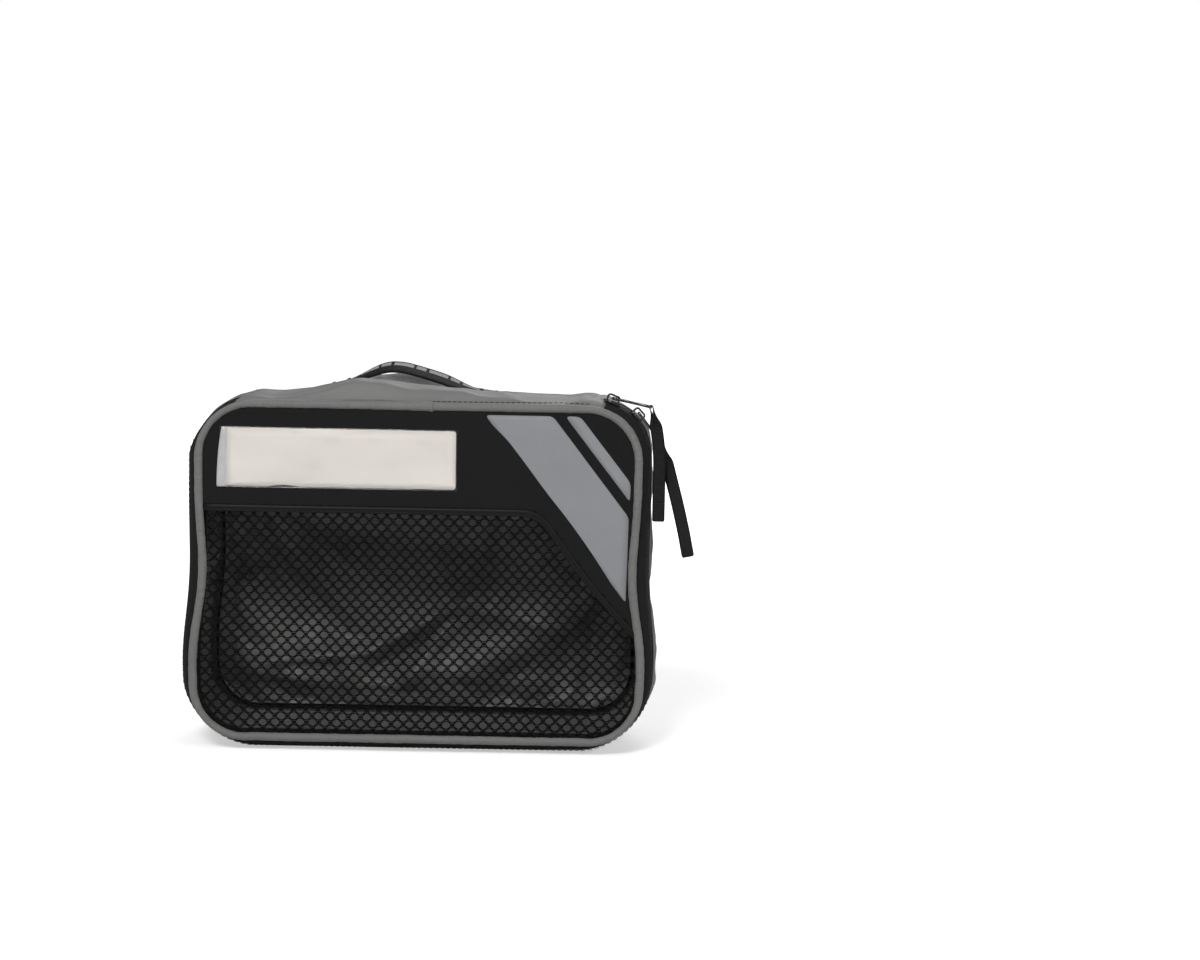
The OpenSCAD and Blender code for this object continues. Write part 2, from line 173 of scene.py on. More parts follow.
def lofted(name, grid, u, v, material, loop_u=False, loop_v=False, flip=False):
    """A skin over a grid of points; u and v are the grid lines' own lengths, one more on a closed side."""
    nu, nv = grid.shape[:2]
    faces, uvs = [], []
    for i in range(nu if loop_u else nu - 1):
        for j in range(nv if loop_v else nv - 1):
            near, far = (i + 1) % nu * nv, i * nv
            quad = [(far + j, u[i], v[j]), (near + j, u[i + 1], v[j]),
                    (near + (j + 1) % nv, u[i + 1], v[j + 1]), (far + (j + 1) % nv, u[i], v[j + 1])]
            if flip:
                quad.reverse()
            faces.append([q[0] for q in quad])
            uvs += [q[1:] for q in quad]
    return make(name, grid, faces, uvs, material)


def within(points, outline):
    """Which points lie inside a closed outline."""
    inside = np.zeros(len(points), bool)
    for (ax, az), (bx, bz) in zip(outline, np.roll(outline, -1, axis=0)):
        crosses = (points[:, 1] < az) != (points[:, 1] < bz)
        slope = (bx - ax) / (bz - az if abs(bz - az) > 1e-12 else 1e-12)
        inside ^= crosses & (points[:, 0] < ax + (points[:, 1] - az) * slope)
    return inside


def edge_distance(points, outline):
    """Distance of each point from a closed outline."""
    best = np.full(len(points), 1e9)
    for a, b in zip(outline, np.roll(outline, -1, axis=0)):
        along = b - a
        t = np.clip(((points - a) @ along) / max(along @ along, 1e-12), 0, 1)
        best = np.minimum(best, np.linalg.norm(points - a - t[:, None] * along, axis=1))
    return best


def cut(outline, spacing):
    """A flat cut of cloth as even triangles: (points, triangles, how many points lie on its edge)."""
    outline = np.asarray(outline, float)
    low, high = outline.min(0), outline.max(0)
    rows = []
    for k, z in enumerate(np.arange(low[1], high[1], spacing * 0.866)):
        xs = np.arange(low[0] + (k % 2) * spacing / 2, high[0], spacing)
        rows.append(np.column_stack([xs, np.full(len(xs), z)]))
    inner = np.concatenate(rows)
    inner = inner[within(inner, outline)]
    inner = inner[edge_distance(inner, outline) > 0.55 * spacing]
    points = [Vector(p) for p in np.concatenate([outline, inner])]
    n = len(outline)
    edges = [(i, (i + 1) % n) for i in range(n)]
    found, _, faces, *_ = delaunay_2d_cdt(points, edges, [], 1, 1e-7)
    return np.array([tuple(p) for p in found]), faces, n


def cut_piece(name, outline, spacing, depth, material):
    """A cut of cloth stood up in the X-Z plane and facing the front; depth(x, z) gives its y."""
    flat, faces, _ = cut(outline, spacing)
    points = np.column_stack([flat[:, 0], depth(flat[:, 0], flat[:, 1]), flat[:, 1]])
    faces = [list(f) for f in faces]
    for f in faces:
        a, b, c = (flat[k] for k in f)
        if (b[0] - a[0]) * (c[1] - a[1]) - (b[1] - a[1]) * (c[0] - a[0]) < 0:
            f.reverse()
    uvs = [flat[k] for f in faces for k in f]
    return make(name, points, faces, uvs, material)


def around(start, end, n, step=4 * mm):
    """The (x, z) points n out from the corners' middles, from one station to another."""
    return swept(stations(start, end, step), [(n, 0.0)])[:, 0][:, [0, 2]]


def panel_outline(n, step=4 * mm):
    return around(0, seam_length, n, step)[:-1]


def points_of(obj):
    flat = np.zeros(len(obj.data.vertices) * 3)
    obj.data.vertices.foreach_get("co", flat)
    return flat.reshape(-1, 3)


def reshape(obj, points):
    obj.data.vertices.foreach_set("co", np.asarray(points, float).ravel())
    obj.data.update()


def let_hang(obj, sewn, reach, frames=18, gravity=1.0, pressure=0.0, full=0.0):
    """Simulates the cloth, its sewn points held; no point ends further than reach from its cut place."""
    rest = points_of(obj)
    sewn_group = obj.vertex_groups.new(name="sewn")
    sewn_group.add([int(k) for k in sewn], 1.0, "REPLACE")
    cloth = obj.modifiers.new("hang", "CLOTH")
    cloth.settings.vertex_group_mass = "sewn"
    cloth.settings.quality = 6
    cloth.settings.mass = 0.12
    cloth.settings.tension_stiffness = 12
    cloth.settings.compression_stiffness = 12
    cloth.settings.shear_stiffness = 4
    cloth.settings.bending_stiffness = 0.12
    cloth.settings.air_damping = 2
    cloth.settings.shrink_min = -full
    cloth.settings.use_pressure = pressure != 0
    cloth.settings.uniform_pressure_force = pressure
    cloth.settings.effector_weights.gravity = gravity
    cloth.point_cache.frame_end = frames + 1
    scene = bpy.context.scene
    for f in range(1, frames + 1):
        scene.frame_set(f)
    seen = obj.evaluated_get(bpy.context.evaluated_depsgraph_get())
    flat = np.zeros(len(seen.data.vertices) * 3)
    seen.data.vertices.foreach_get("co", flat)
    obj.modifiers.remove(cloth)
    obj.vertex_groups.remove(sewn_group)
    scene.frame_set(1)
    move = flat.reshape(-1, 3) - rest
    far = np.linalg.norm(move, axis=1, keepdims=True) + 1e-12
    reshape(obj, rest + move * (reach * np.tanh(far / reach) / far))


def settle(obj):
    reshape(obj, settled(points_of(obj)))


def smoothed(obj):
    smooth = obj.modifiers.new("smooth", "SUBSURF")
    smooth.levels = smooth.render_levels = 1


def thicken(obj, thickness):
    """Gives a sheet its thickness, on the side away from its face."""
    wall = obj.modifiers.new("thickness", "SOLIDIFY")
    wall.thickness = thickness
    wall.offset = -1


class Finish:
    """A procedural material on the Principled shader, built node by node."""

    def __init__(self, name, color, roughness, **numbers):
        self.material = bpy.data.materials.new(name)
        self.material.use_nodes = True
        self.tree = self.material.node_tree
        self.shader = self.tree.nodes["Principled BSDF"]
        self.shader.inputs["Base Color"].default_value = (*color, 1)
        self.shader.inputs["Roughness"].default_value = roughness
        for socket, value in numbers.items():
            self.shader.inputs[socket.replace("_", " ")].default_value = value
        self.color = color

    def node(self, kind, settings=None, **links):
        made = self.tree.nodes.new("ShaderNode" + kind)
        for key, value in (settings or {}).items():
            setattr(made, key, value)
        for key, value in links.items():
            self.plug(made.inputs[key.replace("_", " ")], value)
        return made

    def plug(self, socket, value):
        if isinstance(value, bpy.types.NodeSocket):
            self.tree.links.new(value, socket)
        else:
            socket.default_value = value

    def calc(self, operation, a, b=0.0, c=0.0):
        made = self.tree.nodes.new("ShaderNodeMath")
        made.operation = operation
        for socket, value in zip(made.inputs, (a, b, c)):
            self.plug(socket, value)
        return made.outputs[0]

    def surface(self):
        """The two lengths along the cloth, in metres."""
        parts = self.node("SeparateXYZ", Vector=self.node("TexCoord").outputs["UV"])
        return parts.outputs["X"], parts.outputs["Y"]

    def wave(self, length, pitch):
        """A wave from 0 to 1 along one length."""
        sine = self.calc("SINE", self.calc("MULTIPLY", length, math.tau / pitch))
        return self.calc("MULTIPLY_ADD", sine, 0.5, 0.5)

    def cloudy(self, size, detail=3.0):
        """Noise about 0.5 in object space."""
        return self.node("TexNoise", Vector=self.node("TexCoord").outputs["Object"],
                         Scale=1 / size, Detail=detail).outputs["Fac"]

    def streaky(self, stretch, size, detail):
        """Noise on the cloth's lengths, stretched along one of them."""
        place = self.node("Mapping", Vector=self.node("TexCoord").outputs["UV"], Scale=stretch)
        return self.node("TexNoise", Vector=place.outputs["Vector"], Scale=1 / size,
                         Detail=detail).outputs["Fac"]

    def tint(self, amount, darkest, lightest):
        """The colour times darkest to lightest, as amount goes from 0 to 1."""
        ramp = self.node("MapRange", Value=amount, To_Min=darkest, To_Max=lightest)
        mixed = self.node("VectorMath", {"operation": "SCALE"}, Scale=ramp.outputs["Result"])
        mixed.inputs[0].default_value = self.color
        self.plug(self.shader.inputs["Base Color"], mixed.outputs["Vector"])

    def relief(self, *layers):
        """Bumps, each (height from 0 to 1, depth in metres), the last one on top."""
        normal = None
        for height, depth in layers:
            bump = self.node("Bump", Height=height, Distance=depth, Strength=1.0)
            if normal:
                self.plug(bump.inputs["Normal"], normal)
            normal = bump.outputs["Normal"]
        self.plug(self.shader.inputs["Normal"], normal)


def clouded(name, color, roughness, clouds, darkest, lightest, grain=None, **numbers):
    """A finish whose colour clouds a little; grain gives its bumps' size, detail and depth."""
    f = Finish(name, color, roughness, **numbers)
    f.tint(f.cloudy(clouds), darkest, lightest)
    if grain:
        size, detail, depth = grain
        f.relief((f.cloudy(size, detail), depth))
    return f.material


def grey_nylon(name, roughness, shine):
    """Thin plain-woven grey nylon with a crumpled hand."""
    f = Finish(name, (0.16, 0.162, 0.158), roughness,
               Sheen_Weight=0.1, Sheen_Roughness=0.4, Specular_IOR_Level=shine)
    u, v = f.surface()
    weave = f.calc("MULTIPLY", f.wave(u, 0.7 * mm), f.wave(v, 0.7 * mm))
    slub = f.streaky((0.06, 1, 1), 0.9 * mm, 1.0)
    place = f.node("TexCoord").outputs["Object"]
    crumple = f.node("TexNoise", {"noise_type": "RIDGED_MULTIFRACTAL"}, Vector=place,
                     Scale=1 / (26 * mm), Detail=3.0, Roughness=0.5).outputs["Fac"]
    f.tint(f.calc("MULTIPLY_ADD", slub, 0.25, f.calc("MULTIPLY", f.cloudy(45 * mm), 0.75)), 0.84, 1.16)
    f.relief((crumple, 0.6 * mm), (slub, 0.03 * mm), (weave, 0.05 * mm))
    return f.material


nylon_cloth, proofed_cloth = grey_nylon("grey_nylon", 0.6, 0.3), grey_nylon("proofed_nylon", 0.4, 0.55)
nylon_t = 0.35 * mm
back_bulge = 1.5 * mm
fold_share, fold_spread, fold_fade = 0.85, 0.65, (-14 * mm, 12 * mm)
BACK_FOLDS = [((-84, 34), (-29, 40), 8.0, 5), ((-32, 38), (9, 62), 9.0, 5), ((-31, 25), (20, 62), -9.0, 6),
              ((-12, 20), (20, 67), 9.0, 7), ((20, 66), (76, 53), 7.0, 10), ((22, 16), (70, 14), 9.0, 20),
              ((-96, 31), (-36, 17), 7.0, 9), ((90, 56), (84, 8), -9.0, 8), ((101, 40), (103, 14), 5.0, 6),
              ((92, 90), (87, 64), 6.0, 8), ((-92, 120), (-40, 84), 4.0, 12), ((-60, 12), (70, 7), -6.0, 6),
              ((-70, 110), (40, 96), -4.0, 16)]


def fold_depth(x, z):
    """The slack cloth's folds: each runs from point to point, stands inwards or outwards and fades out."""
    depth = 0.0
    for start, end, high, wide in BACK_FOLDS:
        (ax, az), (bx, bz) = np.array(start) * mm, np.array(end) * mm
        run = math.hypot(bx - ax, bz - az)
        along = ((x - ax) * (bx - ax) + (z - az) * (bz - az)) / run
        away = np.abs((x - ax) * (bz - az) - (z - az) * (bx - ax)) / run
        faded = eased(along, *fold_fade) * eased(run - along, *fold_fade)
        depth = depth + high * mm * faded / (1 + (away / (wide * fold_spread * mm)) ** 2)
    return depth


def back_depth(x, z):
    crown = np.clip((1 - (x / front_high.x) ** 2) * (1 - ((z - mid_z) / (front_high.z - mid_z)) ** 2), 0, 1)
    return back_seam_y + back_bulge * crown


back_panel = cut_piece("back_cloth", panel_outline(seam_n), 3.6 * mm, back_depth, proofed_cloth)
back_panel.data.flip_normals()
cut_edge = len(panel_outline(seam_n))
slack = points_of(back_panel)
is_inside = np.arange(len(slack)) >= cut_edge
slack[:, 1] += 0.6 * mm * rough(slack * (1, 0, 1), 24 * mm, 3) * is_inside
reshape(back_panel, slack)
let_hang(back_panel, range(cut_edge), 7 * mm, frames=22, gravity=0.5, full=0.035)
finer = bmesh.new()
finer.from_mesh(back_panel.data)
bmesh.ops.subdivide_edges(finer, edges=finer.edges[:], cuts=1, use_grid_fill=True)
inner = [v for v in finer.verts if not v.is_boundary]
for _ in range(2):
    bmesh.ops.smooth_vert(finer, verts=inner, factor=0.5, use_axis_x=True, use_axis_y=True, use_axis_z=True)
finer.to_mesh(back_panel.data)
finer.free()
hung = points_of(back_panel)
from_edge = edge_distance(hung[:, [0, 2]], panel_outline(seam_n))
inward = np.interp(from_edge, [0, 10 * mm, 22 * mm], [0.2 * mm, 0.4 * mm, 7 * mm])
hung[:, 1] = np.maximum(hung[:, 1], back_depth(hung[:, 0], hung[:, 2]) - inward)
hung[:, 1] -= fold_share * fold_depth(hung[:, 0], hung[:, 2]) * eased(from_edge, 6 * mm, 20 * mm)
reshape(back_panel, settled(hung))
thicken(back_panel, nylon_t)
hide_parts("back_panel")
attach(back_panel, "case")

# ---------- Back piping and binding ----------
# A round cord in a bias strip of the grey cloth, caught in the seam between the back panel and
# the gussets. Inside, a folded black tape closes over the raw edges of the same seam.


def piping_cloth():
    """Grey cloth drawn tight round the cord, with small cross puckers. Its colour clouds at random, and it is
    painted darker in the puckers' hollows and lighter on their ridges, as painted shade.
    """
    f = Finish("piping_cloth", (0.150, 0.150, 0.146), 0.6, Sheen_Weight=0.2, Specular_IOR_Level=0.3)
    u, v = f.surface()
    bias = f.calc("MULTIPLY", *(f.wave(f.calc(way, u, v), 0.8 * mm) for way in ("ADD", "SUBTRACT")))
    pucker = f.streaky((1, 0.12, 1), 2.4 * mm, 2.0)
    # Part random clouding, part painted shade: the pucker noise that raises the bumps also darkens their
    # hollows and lightens their ridges.
    f.tint(f.calc("ADD", f.calc("MULTIPLY", f.cloudy(30 * mm), 0.6), f.calc("MULTIPLY", pucker, 0.4)),
           0.82, 1.18)
    f.relief((pucker, 0.9 * mm), (bias, 0.04 * mm))
    return f.material


def piping_tube(name, y, joint_at, seed):
    """The wrapped cord; where its ends meet, one end laps over the other."""
    places = stations(0, seam_length, 1.6 * mm)[:-1]
    places = np.sort(np.append(places, [joint_at - 0.08 * mm, joint_at + 0.08 * mm]))
    sides = 18
    rows = []
    for s in places:
        lap = (joint_at - s) % seam_length
        grown = 0.7 * mm * math.exp(-lap / (9 * mm)) if lap < 60 * mm else 0
        r = pipe_r - 0.12 * mm + grown
        angles = [math.tau * k / sides for k in range(sides)]
        rows.append([(seam_n + r * math.cos(a), y + r * math.sin(a)) for a in angles])
    grid = np.array([swept([s], row)[0] for s, row in zip(places, rows)])
    middle = swept(places, [(seam_n, y)])
    out = grid - middle
    ripple = rough(grid, 3.2 * mm, seed) * 0.06 + rough(grid, 15 * mm, seed + 1) * 0.035
    grid = settled(middle + out * (1 + ripple[..., None]))
    u = np.append(places, seam_length)
    v = [math.tau * pipe_r * k / sides for k in range(sides + 1)]
    return lofted(name, grid, u, v, piping_finish, loop_u=True, loop_v=True)


def black_tape(name, rib, color=(0.0085, 0.0085, 0.009)):
    """Narrow black woven tape with fine ribs across it."""
    f = Finish(name, color, 0.7, Sheen_Weight=0.03, Specular_IOR_Level=0.18)
    u, v = f.surface()
    slant = f.calc("ADD", u, f.calc("MULTIPLY", f.calc("PINGPONG", v, 1.6 * mm), 0.8))
    f.tint(f.cloudy(20 * mm), 0.8, 1.25)
    f.relief((f.wave(slant, rib), 0.09 * mm), (f.wave(v, 0.5 * mm), 0.03 * mm))
    return f.material


def binding_tape(name, y, inward, base, lean, seed):
    """The folded tape, 6 mm wide, over the seam's raw edges; lean turns it from panel towards gusset."""
    places = stations(0, seam_length, 4 * mm)[:-1]
    half, thick = 3 * mm, 1.1 * mm
    c, s = math.cos(lean), math.sin(lean)
    section = []
    for a in (math.tau * k / 12 for k in range(12)):
        wide, up = half * (1 - math.cos(a)), thick / 2 * math.sin(a)
        section.append((seam_n - base - wide * c + up * s, y + inward * (1.1 * mm + wide * s + up * c)))
    grid = swept(places, section)
    grid[..., 1] += inward * 0.5 * mm * (1 + rough(grid, 16 * mm, seed))
    grid = settled(grid)
    u = np.append(places, seam_length)
    v = [4 * half * k / 12 for k in range(13)]
    return lofted(name, grid, u, v, binding_finish, loop_u=True, loop_v=True)


def face_out(obj, join=False):
    """Turns the faces of a closed piece outwards; join first makes one of points that lie in one place."""
    work = bmesh.new()
    work.from_mesh(obj.data)
    if join:
        bmesh.ops.remove_doubles(work, verts=work.verts, dist=0.001 * mm)
    bmesh.ops.recalc_face_normals(work, faces=work.faces)
    work.to_mesh(obj.data)
    work.free()
    return obj


piping_finish = piping_cloth()
binding_finish = black_tape("binding_cloth", 0.9 * mm, (0.013, 0.013, 0.0135))
back_piping = face_out(piping_tube("back_piping_cloth", back_seam_y, seam_length - 30 * mm, 4))
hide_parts("back_piping")
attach(back_piping, "case")
back_binding = binding_tape("back_binding_tape", back_seam_y, -1, 2.2 * mm, math.radians(72), 6)
face_out(back_binding)
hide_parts("back_binding")
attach(back_binding, "case")

# ---------- Gussets ----------
# Two strips of the grey nylon make the cube's depth. The side gusset runs round both sides
# and the bottom, from the zip to the back seam. The top gusset closes the top from seam to
# seam, its ends folded under at a slant over the ends of the zip, and the handle pulls it up.

zip_low, zip_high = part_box("case_zip_tape")
tape_end_y = zip_high.y
zip_n = zip_high.x - corner_x - 1.2 * mm
bulge_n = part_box("side_gusset")[1].x - corner_x
zip_end = math.radians(76)
zip_start_s = corner_x + seam_n * (math.pi / 2 - zip_end)
zip_stop_s = seam_length - zip_start_s


def swell(y):
    """How far out the fabric lies at depth y, from the front seam over the zip to the back seam."""
    ys = [front_seam_y + pipe_r, -33.9 * mm, -31 * mm, -26 * mm, tape_end_y, 4 * mm, 20 * mm,
          27.5 * mm, 33 * mm, back_seam_y - pipe_r * 0.4]
    ns = [seam_n, seam_n + 4.2 * mm, zip_n - 0.2 * mm, zip_n, bulge_n - 0.4 * mm,
          bulge_n + 0.4 * mm, bulge_n - 0.2 * mm, bulge_n - 1.6 * mm, bulge_n - 4.4 * mm, seam_n]
    return float(np.interp(y, ys, ns))


def length_across(section):
    """Lengths along a section from its first point."""
    steps = [math.dist(a, b) for a, b in zip(section, section[1:])]
    return np.concatenate([[0], np.cumsum(steps)])


side_ys = [tape_end_y - 1.5 * mm, tape_end_y + 0.8 * mm, *np.linspace(tape_end_y + 3 * mm, 30 * mm, 12),
           32.5 * mm, 34.5 * mm, 36.3 * mm]
side_section = [(swell(y), y) for y in side_ys]
side_places = stations(zip_start_s - 5 * mm, zip_stop_s + 5 * mm, 3.4 * mm)


def under_top(s):
    """How far the side gusset's ends lie below the top gusset's."""
    return 1.1 * mm * min(1, max(0, (zip_start_s + 2.5 * mm - min(s, seam_length - s)) / (2.5 * mm)))


side_grid = swept(side_places, lambda s: [(n - under_top(s), y) for n, y in side_section])
wobble = rough(side_grid, 22 * mm, 11) * 0.5 * mm
held_edge = np.minimum(1, np.minimum(np.arange(len(side_ys)), np.arange(len(side_ys))[::-1]) / 2)
side_out = side_grid - swept(side_places, [(0, y) for y in side_ys])
side_out /= np.linalg.norm(side_out, axis=2, keepdims=True)
side_grid += side_out * (wobble * held_edge)[..., None]
side_gusset = lofted("side_gusset_cloth", side_grid, side_places, length_across(side_section),
                     nylon_cloth, flip=True)
rows, columns = side_grid.shape[:2]
side_sewn = [i * columns + j for i in range(rows) for j in range(columns)
             if j < 2 or j > columns - 2 or i < 2 or i > rows - 3]
let_hang(side_gusset, side_sewn, 5 * mm, frames=20, gravity=0.6, pressure=0.6, full=0.03)
filled = settled(points_of(side_gusset))
sunk_z, sunk_half, sunk_left, sunk_right = 104 * mm, 30 * mm, 7.5 * mm, 1.5 * mm
sunk = np.exp(-((filled[:, 2] - sunk_z) / sunk_half) ** 2) * \
    eased(filled[:, 1], tape_end_y + 3 * mm, tape_end_y + 24 * mm) * \
    eased(-filled[:, 1], -36 * mm, -18 * mm)
filled[:, 0] += np.where(filled[:, 0] < 0, sunk_left, -sunk_right) * sunk
filled[:, 2] = np.maximum(filled[:, 2], 0.4 * mm)
reshape(side_gusset, filled)
smoothed(side_gusset)
thicken(side_gusset, nylon_t)
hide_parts("side_gusset")
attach(side_gusset, "case")

handle_low, handle_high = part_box("handle")
tab_l, web_w = 14 * mm, handle_high.y - handle_low.y
tabs = [(handle_low.x, handle_low.x + tab_l), (handle_high.x - tab_l, handle_high.x)]
HANDLE_LINE = [(-50.5, 183.2), (-43, 184.8), (-36, 187.3), (-25.5, 192.9), (-18.4, 195.4), (-10, 195.1),
               (1, 192.2), (11, 189.2), (16.5, 186.8), (24, 183.4), (30, 181.5), (40.5, 180.6)]
FRONT_FOLD = [(-90, 180.8), (-78, 182.6), (-62, 184.9), (-50, 188.0), (-33, 192.4), (-20, 191.5),
              (0, 189.1), (16, 188.3), (42, 185.5), (52, 184.4), (85, 182.9)]
BACK_FOLD = [(-85, 182.5), (-50, 186.0), (-24, 191.8), (-10, 194.1), (0, 193.2), (10, 190.6),
             (22, 187.4), (40, 185.0), (85, 182.3)]


def along_top(line, x, wide):
    """Height at x on a line of (x, z) points whose bends are rounded over that width."""
    xs, zs = np.array(line).T * mm
    return float(np.mean([np.interp(x + wide * t, xs, zs) for t in np.linspace(-1, 1, 7)]))


def handle_height(x):
    """Height of the handle's underside, which slopes up out of each sewn end."""
    return along_top(HANDLE_LINE, x, 3 * mm)


def top_height(x, y):
    """Height of the slack top: a fold in front of the handle, a dip under it and a lower fold behind."""
    ends = min(1.0, max(0.0, (abs(x) - corner_x + 9 * mm) / (9 * mm)))
    seam_z = front_high.z - 2.6 * mm
    front_fold, back_fold = along_top(FRONT_FOLD, x, 5 * mm), along_top(BACK_FOLD, x, 5 * mm)
    dip = min(front_fold, back_fold) - 1 * mm - 2.5 * mm * math.exp(-((x + 5 * mm) / (26 * mm)) ** 2)
    ys = [front_seam_y + 1 * mm, -33 * mm, -20 * mm, -7 * mm, 8 * mm, 24 * mm, 32 * mm,
          back_seam_y - 1 * mm]
    zs = [seam_z, front_fold - 2.2 * mm, front_fold, dip, dip + 0.4 * mm, back_fold, back_fold - 2.2 * mm,
          seam_z]
    z = float(np.interp(y, ys, zs))
    for x1, x2 in tabs:
        dx, dy = max(0.0, x1 - x, x - x2), max(0.0, abs(y) - web_w / 2)
        sewn = min(1.0, max(0.0, 1 - math.hypot(dx, dy) / (8 * mm)))
        under_tab = handle_height(min(x2, max(x1, x))) - 0.2 * mm
        z += (under_tab - z) * sewn * sewn * (3 - 2 * sewn)
    return z * (1 - ends) + (mid_z + corner_dz + swell(y)) * ends


top_ys = [front_seam_y + 1.5 * mm, -35 * mm, -33.5 * mm, *(np.arange(-31.5, 31.6, 3.0) * mm),
          33.5 * mm, 35.2 * mm, 36.6 * mm]
top_end = zip_start_s + 1.5 * mm
top_places = stations(-top_end, top_end, 3.0 * mm)
top_grid = []
for s in top_places:
    x, z, angle = station(s)
    across = []
    for y in top_ys:
        slant = 3.0 * mm * min(1, max(0, (y + 35 * mm) / (30 * mm))) * (s / top_end) ** 7
        n = swell(y) if abs(s) > corner_x else top_height(x, y) - z
        across.append((x + n * math.cos(angle) - slant, y, z + n * math.sin(angle)))
    top_grid.append(across)
top_grid = np.array(top_grid)
top_section = [(swell(y), y) for y in top_ys]
top_gusset = lofted("top_gusset_cloth", top_grid, top_places, length_across(top_section),
                    nylon_cloth, flip=True)
rows, columns = top_grid.shape[:2]
top_sewn = []
for k, p in enumerate(top_grid.reshape(-1, 3)):
    i, j = divmod(k, columns)
    on_tab = any(x1 <= p[0] <= x2 and abs(p[1]) <= web_w / 2 for x1, x2 in tabs)
    if j < 1 or j > columns - 2 or i == 0 or i == rows - 1 or on_tab:
        top_sewn.append(k)
soft = points_of(top_gusset)
loose = [k for k in range(len(soft)) if k not in set(top_sewn)]
soft[loose, 2] += 0.5 * mm * rough(soft[loose], 16 * mm, 9)
reshape(top_gusset, soft)
let_hang(top_gusset, top_sewn, 1.0 * mm, frames=18, gravity=0.1, full=0.03)
settle(top_gusset)
smoothed(top_gusset)
thicken(top_gusset, nylon_t)
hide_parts("top_gusset")


def finished(obj):
    """The piece with its modifiers made part of its mesh."""
    seen = obj.evaluated_get(bpy.context.evaluated_depsgraph_get())
    mesh = bpy.data.meshes.new_from_object(seen)
    obj.modifiers.clear()
    obj.data = mesh
    return obj


finished(top_gusset)
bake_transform(top_gusset)

# ---------- Handle ----------
# One length of black webbing with a plain dashed white stripe woven along its middle. Each end
# is folded under, laid on the top gusset and held by two bartacks through all the layers.


def dashed_webbing():
    """Ribbed black webbing; white yarns come up in plain long and short dashes on its outer face."""
    f = Finish("dashed_webbing", (0.0065, 0.0065, 0.007), 0.72, Specular_IOR_Level=0.12)
    u, v = f.surface()
    rib = f.wave(f.calc("ADD", u, f.calc("PINGPONG", v, 2.5 * mm)), 1.3 * mm)
    phase = f.calc("FRACT", f.calc("DIVIDE", u, 18.6 * mm))
    long_dash = f.calc("LESS_THAN", phase, 0.55)
    short_dash = f.calc("MULTIPLY", f.calc("GREATER_THAN", phase, 0.63), f.calc("LESS_THAN", phase, 0.91))
    middle = f.calc("MULTIPLY", f.calc("GREATER_THAN", v, 8.6 * mm), f.calc("LESS_THAN", v, 15 * mm))
    twill = f.calc("MULTIPLY_ADD", f.wave(v, 0.9 * mm), 0.2, 0.8)
    yarn = f.calc("MULTIPLY", f.calc("MULTIPLY", f.calc("ADD", long_dash, short_dash), middle), twill)
    mixed = f.node("Mix", {"data_type": "RGBA"})
    for socket, value in ((0, yarn), (6, (*f.color, 1)), (7, (0.36, 0.357, 0.347, 1))):
        f.plug(mixed.inputs[socket], value)
    f.plug(f.shader.inputs["Base Color"], mixed.outputs[2])
    f.relief((rib, 0.12 * mm), (f.wave(v, 0.7 * mm), 0.1 * mm))
    return f.material


def with_ends(grid):
    """The grid with a point at each end, so that the skin closes there."""
    first, last = (np.repeat([[row.mean(0)]], grid.shape[1], 1) for row in (grid[0], grid[-1]))
    return np.concatenate([first, grid, last])


def with_end_values(values):
    """Lengths along a grid, repeated for the point at each end."""
    return np.concatenate([[values[0]], values, [values[-1]]])


def closed_skin(name, grid, u, v, material, slack=True):
    """A skin closed round its section and at both ends, its faces outwards; slack settles it as well."""
    grid = settled(with_ends(grid)) if slack else with_ends(grid)
    return face_out(lofted(name, grid, with_end_values(u), v, material, loop_v=True), join=True)


def strap_section(width, thickness, curl=0.0):
    """A flat strap's section as (across, up): upper face, round edge, lower face, round edge."""
    half, t = width / 2 - thickness / 2, thickness
    across = [-half + 2 * half * k / 8 for k in range(9)]
    upper = [(a, t - curl * (a / half) ** 2) for a in across]
    lower = [(a, -curl * (a / half) ** 2) for a in reversed(across)]
    return upper + [(half + t * 0.42, t / 2 - curl)] + lower + [(-half - t * 0.42, t / 2 - curl)]


web_t, fold_t = 1.5 * mm, 2.3 * mm
handle_tilt = 0.19
handle_rows, handle_line = [], []
for k in range(61):
    x = handle_low.x + (handle_high.x - handle_low.x) * k / 60
    off_tab = float(eased(x, tabs[0][1] - 2 * mm, tabs[0][1] + 15 * mm) *
                    eased(-x, -tabs[1][0] - 2 * mm, 15 * mm - tabs[1][0]))
    section = strap_section(web_w, fold_t + (web_t - fold_t) * off_tab, 0.5 * mm * off_tab)
    z = handle_height(x)
    handle_rows.append([(x, a, z + up + handle_tilt * a * off_tab) for a, up in section])
    handle_line.append((x, z))
flat_section = strap_section(web_w, web_t)
handle = closed_skin("handle_webbing", np.array(handle_rows), length_across(handle_line),
                     length_across(flat_section + flat_section[:1]), dashed_webbing(), slack=False)
smoothed(handle)
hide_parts("handle")
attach(handle, "case")


